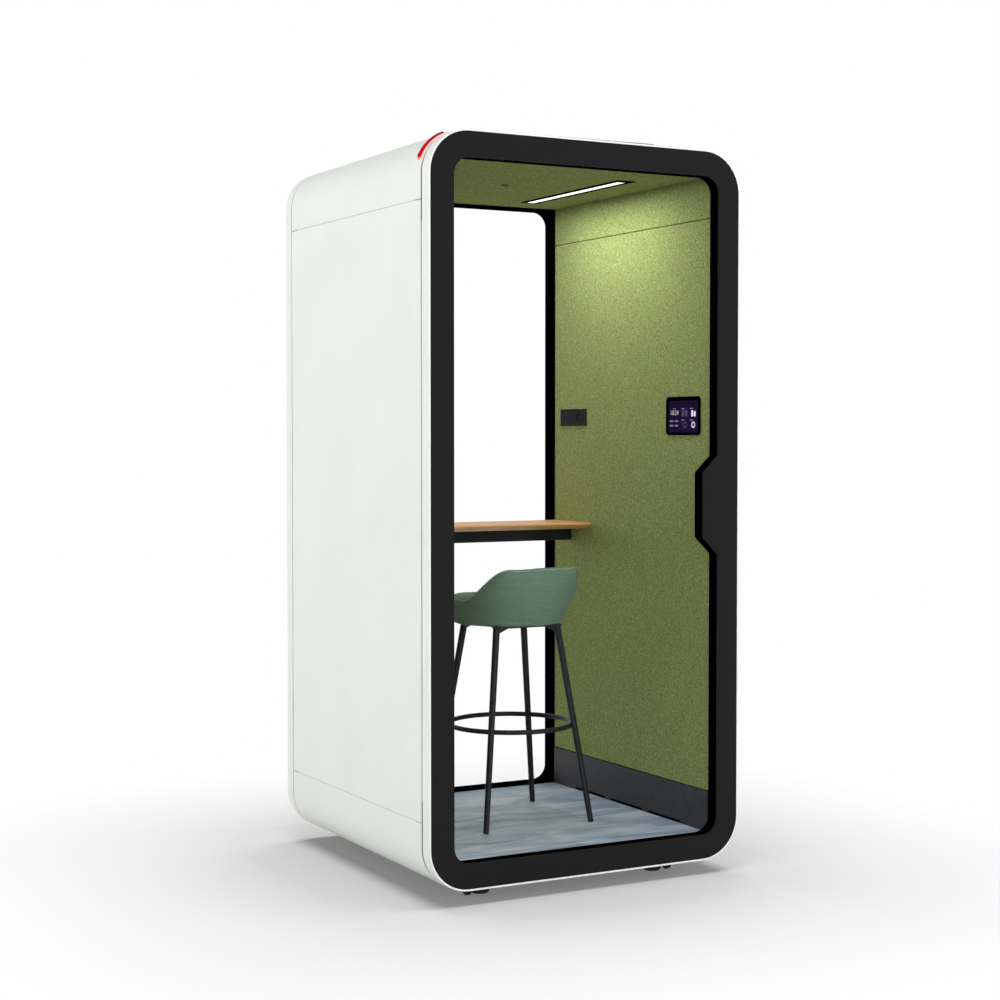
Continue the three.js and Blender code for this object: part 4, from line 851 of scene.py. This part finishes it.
def roof_cover():
    """A folded steel cover with air slots along both sides, their bottoms black as painted shade, and screws round
    its top.
    """
    low, high = place("roof_cover")
    mesh = block(low, high, edge=3, segments=3)
    middle, pitch = (low.z + high.z) / 2, (high.y - low.y) / 6
    middles = [low.y + pitch * (k + 0.5) for k in range(6)]
    slice_at(mesh, (middle - 4, middle + 4), (0, 0, 1))
    slice_at(mesh, [y + end for y in middles for end in (-45, 45)], (0, 1, 0))

    def fall(x):
        """The top's slight fall to the left."""
        return HOOD_FALL * (high.x - x) / (high.x - low.x)

    slots = []
    for face in mesh.faces:
        at = face.calc_center_median()
        if abs(face.normal.x) > 0.9 and abs(at.z - middle) < 4 and any(abs(at.y - y) < 45 for y in middles):
            slots.append(face)
    # Each slot is sunk 12 mm and its bottom takes black plastic: painted shade inside the air slot.
    for face in bmesh.ops.extrude_discrete_faces(mesh, faces=slots)["faces"]:
        bmesh.ops.translate(mesh, vec=face.normal * -12, verts=face.verts[:])
        face.material_index = 1
    for vert in mesh.verts:
        if vert.co.z > middle + 5:
            vert.co.z -= fall(vert.co.x)
    # The hood's darker zinc is painted shade.
    made = piece("roof_hood", mesh, "pod", "steel", "roof_cover", finish=HOOD)
    # Black plastic for the slot bottoms is painted shade.
    made.data.materials.append(FINISH["black_plastic"])
    heads = [(x, y) for x in (low.x + 14, high.x - 14) for y in (-340, -170, 0, 170, 340)]
    heads += [(x, y) for y in (low.y + 14, high.y - 14) for x in (-150, 0, 150)]
    piece("hood_screws", screws([(x, y, high.z - fall(x)) for x, y in heads], (0, 0, 1)), "pod", "steel")


def hinge_and_catch_screws():
    """Countersunk screws in both hinge leaves, the magnet and the strike plate, all but flush."""
    for name, body, sign in (("door_hinge_leaf", "door", 1), ("body_hinge_leaf", "pod", -1)):
        low, high = place(name)
        y = DOOR_BACK + 2.7 if sign > 0 else BODY_FRONT - 2.7
        step = (high.z - low.z) / 9
        heads = [(high.x - 14, y, low.z + step * (k + 0.5)) for k in range(9)]
        piece(f"{name}_screws", screws(heads, (0, sign, 0), 4.5, 0.3), body, "steel")
    for name, body, sign in (("door_magnet", "door", 1), ("strike_plate", "pod", -1)):
        low, high = place(name)
        y = high.y if sign > 0 else low.y
        heads = [((low.x + high.x) / 2, y, z) for z in (low.z + 9, high.z - 9)]
        piece(f"{name}_screws", screws(heads, (0, sign, 0), 3.5, 0.25), body, "steel")


def cable_gland():
    """A round base, a domed nut and the bore for a cable."""
    low, high = place("cable_gland")
    centre = (low + high) / 2
    seat = TOP + FIT
    nut = turned([(13, 0), (13, 8), (11.5, 9), (11.5, 12), (9, 20), (7.5, 21.5), (5, 21.5), (5, -9)],
                 (centre.x, centre.y, seat), edge=0.4)
    piece("gland_nut", nut, "pod", "black_plastic", "cable_gland")


def levelling_feet():
    """A moulded pad with a rolled rim, a lock nut and a threaded stem."""
    for along in ("front", "rear"):
        for across in ("left", "right"):
            name = f"levelling_foot_{along}_{across}"
            low, high = place(name)
            centre = (low + high) / 2
            profile = [(0, 0), (24, 0), (26, 1), (30, 8), (31, 12), (30.5, 15), (28, 19), (25, 20), (12, 20),
                       (10, 23), (10, 28), (6, 29), (6, high.z - low.z), (0, high.z - low.z)]
            piece(f"{name}_pad", turned(profile, (centre.x, centre.y, low.z), edge=0.5), name, "rubber", name)


def castor_wheels():
    """A crowned tread on a dished hub, with the axle through it."""
    for along in ("front", "rear"):
        for across in ("left", "right"):
            name = f"castor_wheel_{along}_{across}"
            low, high = place(name)
            centre = (low + high) / 2
            end = (high.x - low.x) / 2
            side = [(3, end), (3, 6.5), (12, 6.5), (13.5, 8), (17, 8), (18.6, 6), (19, 3)]
            profile = [(0, end), *side, *[(radius, -x) for radius, x in reversed(side)], (0, -end)]
            piece(f"{name}_tyre", turned(profile, centre, ACROSS), name, "rubber", name)


# Bar stool

STOOL = Vector((33, 23, 0))
SEAT_BOTTOM = 771.0
SEAT_TURN = math.radians(8.5)
LEG_HEAD, LEG_FOOT = 113, 195
FOOTREST = 315


def stool_frame():
    """Two pairs of tapered legs, each under a flat bar with gussets, a round seat plate and a footrest ring."""
    plate_top = place("stool_frame")[1].z
    parts = []
    for x in (-1, 1):
        for y in (-1, 1):
            head = STOOL + Vector((x * LEG_HEAD, y * LEG_HEAD, plate_top - 3))
            foot = STOOL + Vector((x * LEG_FOOT, y * LEG_FOOT, FLOOR + 6))
            parts.append(tube(head, foot, 11.5, 9.3))
            glide = [(0, 0.3), (8, 0.3), (9.3, 1.6), (9.3, 9), (0, 11)]
            parts.append(turned(glide, (foot.x, foot.y, FLOOR), steps=24))
            web = [(0, 0), (-x * 46, 0), (-x * 40, -4), (-x * 11, -17), (0, -17)]
            gusset = slab([(u, v, 0) for u, v in web], -2, 2, edge=0.6)
            bmesh.ops.translate(gusset, vec=head + Vector((0, 0, -2)), verts=gusset.verts[:])
            parts.append(gusset)
    for y in (-1, 1):
        low = STOOL + Vector((-LEG_HEAD - 8, y * LEG_HEAD - 20, plate_top - 6))
        high = STOOL + Vector((LEG_HEAD + 8, y * LEG_HEAD + 20, plate_top))
        parts.append(block(low, high, edge=1))
    parts.append(turned([(0, -6), (116.5, -6), (118, -4.5), (118, -1.5), (116.5, 0), (0, 0)],
                        (STOOL.x, STOOL.y, plate_top), steps=72))
    drop = (plate_top - FLOOR - FOOTREST) / (plate_top - FLOOR - 6)
    radius = (LEG_HEAD + (LEG_FOOT - LEG_HEAD) * drop) * math.sqrt(2) - 15.5
    ring = bmesh.new()
    bmesh.ops.create_circle(ring, segments=16, radius=8, matrix=Matrix.Translation(
        STOOL + Vector((radius, 0, FLOOR + FOOTREST))) @ Matrix.Rotation(math.pi / 2, 4, "X"))
    bmesh.ops.spin(ring, geom=ring.verts[:] + ring.edges[:], cent=STOOL, axis=(0, 0, 1),
                   dvec=(0, 0, 0), angle=math.tau, steps=96, use_merge=True)
    bmesh.ops.remove_doubles(ring, verts=ring.verts[:], dist=0.001)
    parts.append(ring)
    piece("stool_tubes", gather(*parts), "stool", "black_steel", "stool_frame")


def smooth_step(value, start, end):
    """0 before start, 1 after end, eased between."""
    share = min(1, max(0, (value - start) / (end - start)))
    return share * share * (3 - 2 * share)


SEAT_EDGE, SEAT_LIP = 87, 30


def seat_rise(turn):
    """How far the back stands above the arms, and the front edge dips, by the turn from the front."""
    back = 102 * smooth_step(turn, 0.525 * math.pi, 0.795 * math.pi)
    crown = 4.5 * smooth_step(turn, 0.8 * math.pi, 0.97 * math.pi)
    return back + crown - 8 * (1 - smooth_step(turn, 0, 0.2 * math.pi))


def seat_spread(z, turn):
    """The tub's width at a height, as a share of its half width: it draws in more under the back."""
    taper = 0.16 + 0.075 * smooth_step(turn, 0.35 * math.pi, 0.65 * math.pi)
    return 1 - taper * max(0, 1 - z / 140) ** 1.25


def seat_profile(turn):
    """Shares of the half width and heights, from under the middle over the rim to the crown."""
    rise = seat_rise(turn)
    rim, lip = SEAT_EDGE + rise, SEAT_LIP / 228
    edge = seat_spread(0, turn)
    sole = edge - 8 / 228
    top = seat_spread(rim, turn)
    wall = top - lip
    points = [(0, 0), (sole / 2, 0), (sole * 0.9, 0), (sole, 0), (sole + 0.02, 1.2), (edge - 0.006, 3.5)]
    for k in range(12):
        z = 8 + (rim - 13.5 - 8) * k / 11
        points.append((seat_spread(z, turn), z))
    for k in range(1, 6):
        angle = k * math.pi / 6
        points.append((top - lip / 2 + math.cos(angle) * lip / 2, rim - 13.5 + 13.5 * math.sin(angle)))
    for k in range(11):
        share = wall * (1 - k / 10)
        climb = smooth_step(share, 0.5, wall + lip / 2)
        points.append((share, 93 - 6 * share * share + rise * climb))
    return points


def seat_point(share, angle, z):
    """A point of the seat before it is set on its plate."""
    return Vector((share * 228 * math.cos(angle), share * 220 * math.sin(angle), z))


def seat_shell():
    """The tub's form as spun rings."""
    count = len(seat_profile(0))
    mesh = bmesh.new()
    points = [mesh.verts.new((0 < k < count - 1, 0, k)) for k in range(count)]
    strip = [mesh.edges.new(pair) for pair in zip(points, points[1:])]
    bmesh.ops.spin(mesh, geom=points + strip, cent=(0, 0, 0), axis=(0, 0, 1), dvec=(0, 0, 0),
                   angle=math.tau, steps=120, use_merge=True)
    bmesh.ops.remove_doubles(mesh, verts=mesh.verts[:], dist=0.001)
    for vert in mesh.verts:
        angle = math.atan2(vert.co.y, vert.co.x)
        share, z = seat_profile(math.acos(math.sin(angle)))[round(vert.co.z)]
        vert.co = seat_point(share, angle, z)
    bmesh.ops.recalc_face_normals(mesh, faces=mesh.faces[:])
    return mesh


def pressed_cover(mesh):
    """The cover after a short cloth simulation: pressed out by its filling, held flat underneath."""
    scene = bpy.context.scene
    bmesh.ops.scale(mesh, vec=(MM, MM, MM), verts=mesh.verts[:])
    data = bpy.data.meshes.new("cover_cloth")
    mesh.to_mesh(data)
    mesh.free()
    cover = bpy.data.objects.new("cover_cloth", data)
    scene.collection.objects.link(cover)
    cells = cover.modifiers.new("even_cells", "REMESH")
    cells.mode = "VOXEL"
    cells.voxel_size = 0.006
    even = bpy.data.meshes.new_from_object(cover.evaluated_get(bpy.context.evaluated_depsgraph_get()))
    cover.modifiers.clear()
    cover.data = even
    start = [vert.co.copy() for vert in even.vertices]
    held = cover.vertex_groups.new(name="held")
    held.add([vert.index for vert in even.vertices if vert.co.z < 0.004], 1.0, "ADD")
    cloth = cover.modifiers.new("cover", "CLOTH")
    cloth.settings.use_pressure = True
    cloth.settings.uniform_pressure_force = 4
    cloth.settings.effector_weights.gravity = 0
    cloth.settings.vertex_group_mass = "held"
    cloth.point_cache.frame_start, cloth.point_cache.frame_end = 1, 20
    for number in range(1, 21):
        scene.frame_set(number)
    pressed = cover.evaluated_get(bpy.context.evaluated_depsgraph_get()).to_mesh()
    ends = [vert.co.copy() for vert in pressed.vertices]
    scene.frame_set(1)
    whole = bmesh.new()
    whole.from_mesh(even)
    whole.verts.ensure_lookup_table()
    for vert, before, after in zip(whole.verts, start, ends):
        move = after - before
        vert.co = before + move * min(1, 0.005 / max(move.length, 1e-9))
    bmesh.ops.smooth_vert(whole, verts=[vert for vert in whole.verts if vert.co.z > 0.006], factor=0.5,
                          use_axis_x=True, use_axis_y=True, use_axis_z=True)
    bmesh.ops.scale(whole, vec=(1 / MM, 1 / MM, 1 / MM), verts=whole.verts[:])
    bpy.data.objects.remove(cover)
    bpy.data.meshes.remove(data)
    bpy.data.meshes.remove(even)
    return whole


def rim_seam(cover):
    """The sewn welt along the outer edge of the rim, half sunk in the cover."""
    surface = BVHTree.FromBMesh(cover)
    curve = bpy.data.curves.new("rim_seam", "CURVE")
    curve.dimensions = "3D"
    curve.bevel_depth = 1.6
    curve.bevel_resolution = 3
    path = curve.splines.new("POLY")
    path.points.add(179)
    path.use_cyclic_u = True
    for k, point in enumerate(path.points):
        angle = k * math.tau / 180
        turn = math.acos(math.sin(angle))
        rim = SEAT_EDGE + seat_rise(turn)
        share = seat_spread(rim, turn) - (1 - math.cos(math.pi / 3)) * SEAT_LIP / 456
        on_cover = surface.find_nearest(seat_point(share, angle, rim - 13.5 + 13.5 * math.sin(math.pi / 3)))[0]
        point.co = (*on_cover, 1)
    path_object = bpy.data.objects.new("rim_seam", curve)
    data = bpy.data.meshes.new_from_object(path_object)
    mesh = bmesh.new()
    mesh.from_mesh(data)
    bpy.data.objects.remove(path_object)
    bpy.data.curves.remove(curve)
    bpy.data.meshes.remove(data)
    return mesh


def bucket_seat():
    """A low-backed tub seat whose cover is pressed out by its filling, with a welt along the rim in a lighter
    fabric that paints the rim's highlight.
    """
    stand = Matrix.Translation((STOOL.x, STOOL.y, SEAT_BOTTOM)) @ Matrix.Rotation(SEAT_TURN, 4, "Z")
    tub = seat_shell()
    tub = pressed_cover(tub)
    welt = rim_seam(tub)
    for mesh in (tub, welt):
        bmesh.ops.transform(mesh, matrix=stand, verts=mesh.verts[:])
    made = piece("seat_cover", tub, "seat", "sage_fabric", "stool_seat", angle=180)
    made.modifiers.clear()
    curve = made.modifiers.new("soft_form", "SUBSURF")
    curve.levels = curve.render_levels = 1
    # The welt's lighter fabric is a painted highlight on the rim.
    piece("seat_welt", welt, "seat", "sage_fabric", finish=HIGHLIGHT_PIPING, angle=180)


# Studio

def seen_directly(tree):
    """1 for what the camera sees, also in reflections and through glass, and 0 for light on the surfaces."""
    sight = add(tree, "ShaderNodeLightPath")
    seen = add(tree, "ShaderNodeMath", {
        0: sight.outputs["Is Camera Ray"], 1: sight.outputs["Is Glossy Ray"]}, operation="MAXIMUM")
    return add(tree, "ShaderNodeMath", {
        0: seen.outputs[0], 1: sight.outputs["Is Transmission Ray"]}, operation="MAXIMUM").outputs[0]


def studio_floor():
    """A pale floor that keeps the shadow close to the pod and fades to white."""
    mesh = bmesh.new()
    bmesh.ops.create_grid(mesh, x_segments=1, y_segments=1, size=40)
    data = bpy.data.meshes.new("studio_floor")
    mesh.to_mesh(data)
    mesh.free()
    floor = bpy.data.objects.new("studio_floor", data)
    bpy.context.scene.collection.objects.link(floor)
    made, tree, shader, point = new_material("studio_floor", Roughness=0.9)
    direct = seen_directly(tree)
    grey = add(tree, "ShaderNodeValToRGB", {"Fac": direct}, [(0.0, "#666666"), (1.0, "#8a8a8a")])
    link(tree, grey, shader, "Base Color")
    shader.inputs["Specular IOR Level"].default_value = 0.0
    side = add(tree, "ShaderNodeVectorMath", {0: point}, operation="ABSOLUTE")
    past = add(tree, "ShaderNodeVectorMath", {0: side.outputs[0], 1: (0.5, 0.5, 1)}, operation="SUBTRACT")
    out = add(tree, "ShaderNodeVectorMath", {0: past.outputs[0], 1: (0, 0, 0)}, operation="MAXIMUM")
    reach = add(tree, "ShaderNodeVectorMath", {0: out.outputs[0]}, operation="LENGTH")
    fade = add(tree, "ShaderNodeMapRange", {"Value": reach.outputs["Value"], "From Min": 0.25, "From Max": 1.3, "To Min": 0.16})
    strength = add(tree, "ShaderNodeMapRange", {"Value": direct, "To Min": 0.55})
    white = add(tree, "ShaderNodeEmission", {"Strength": strength.outputs[0]})
    mix = add(tree, "ShaderNodeMixShader", {"Fac": fade.outputs[0]})
    tree.links.new(shader.outputs[0], mix.inputs[1])
    tree.links.new(white.outputs[0], mix.inputs[2])
    tree.links.new(mix.outputs[0], tree.nodes["Material Output"].inputs["Surface"])
    data.materials.append(made)
    return floor


def studio_world():
    """White to the eye and in reflections, and a plain soft light on the surfaces."""
    world = bpy.data.worlds.new("studio")
    bpy.context.scene.world = world
    world.use_nodes = True
    tree = world.node_tree
    sky = add(tree, "ShaderNodeSeparateXYZ", {
        "Vector": add(tree, "ShaderNodeTexCoord").outputs["Generated"]})
    ambient = add(tree, "ShaderNodeMapRange", {
        "Value": sky.outputs["Z"], "From Max": 0.48, "To Min": 3.4, "To Max": 0.2})
    level = add(tree, "ShaderNodeMapRange", {
        "Value": seen_directly(tree), "To Min": ambient.outputs[0]})
    back = tree.nodes["Background"]
    back.inputs["Color"].default_value = (1, 1, 1, 1)
    tree.links.new(level.outputs[0], back.inputs["Strength"])


def lamp(name, at, towards, width, height, power):
    """A rectangular soft lamp."""
    data = bpy.data.lights.new(name, "AREA")
    data.shape = "RECTANGLE"
    data.size = width
    data.size_y = height
    data.energy = power
    made = bpy.data.objects.new(name, data)
    made.location = at
    made.rotation_euler = (Vector(towards) - Vector(at)).to_track_quat("-Z", "Y").to_euler()
    made.visible_camera = False
    made.visible_glossy = False
    bpy.context.scene.collection.objects.link(made)
    return made


def studio_lamps(floor):
    """A large softbox overhead for the floor and the shadow on it, one in front, and the cabin's own light."""
    overhead = lamp("overhead", (0, 0, 7), (0, 0, 0), 7.0, 7.0, 2080)
    lit = bpy.data.collections.new("floor_light")
    lit.objects.link(floor)
    overhead.light_linking.receiver_collection = lit
    lamp("front", (-0.4, -5.0, 2.2), (0, 0, 0.8), 2.5, 2.5, 50)
    low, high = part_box("light_diffuser")
    middle = (low + high) / 2
    along = middle.x - 0.034
    lamp("cabin", (along, middle.y, low.z - 0.008), (along, middle.y, 0), 0.036, 0.6, 4.9)


photo_camera()
dress_frame()
front_door()
rear_wall()
outer_skin()
status_light()
lining()
ceiling_light()
occupancy_sensor()
desk()
power_module()
touch_display()
roof_cover()
hinge_and_catch_screws()
cable_gland()
levelling_feet()
castor_wheels()
stool_frame()
bucket_seat()
floor = studio_floor()
studio_world()
studio_lamps(floor)
bpy.context.scene.view_settings.view_transform = "Standard"
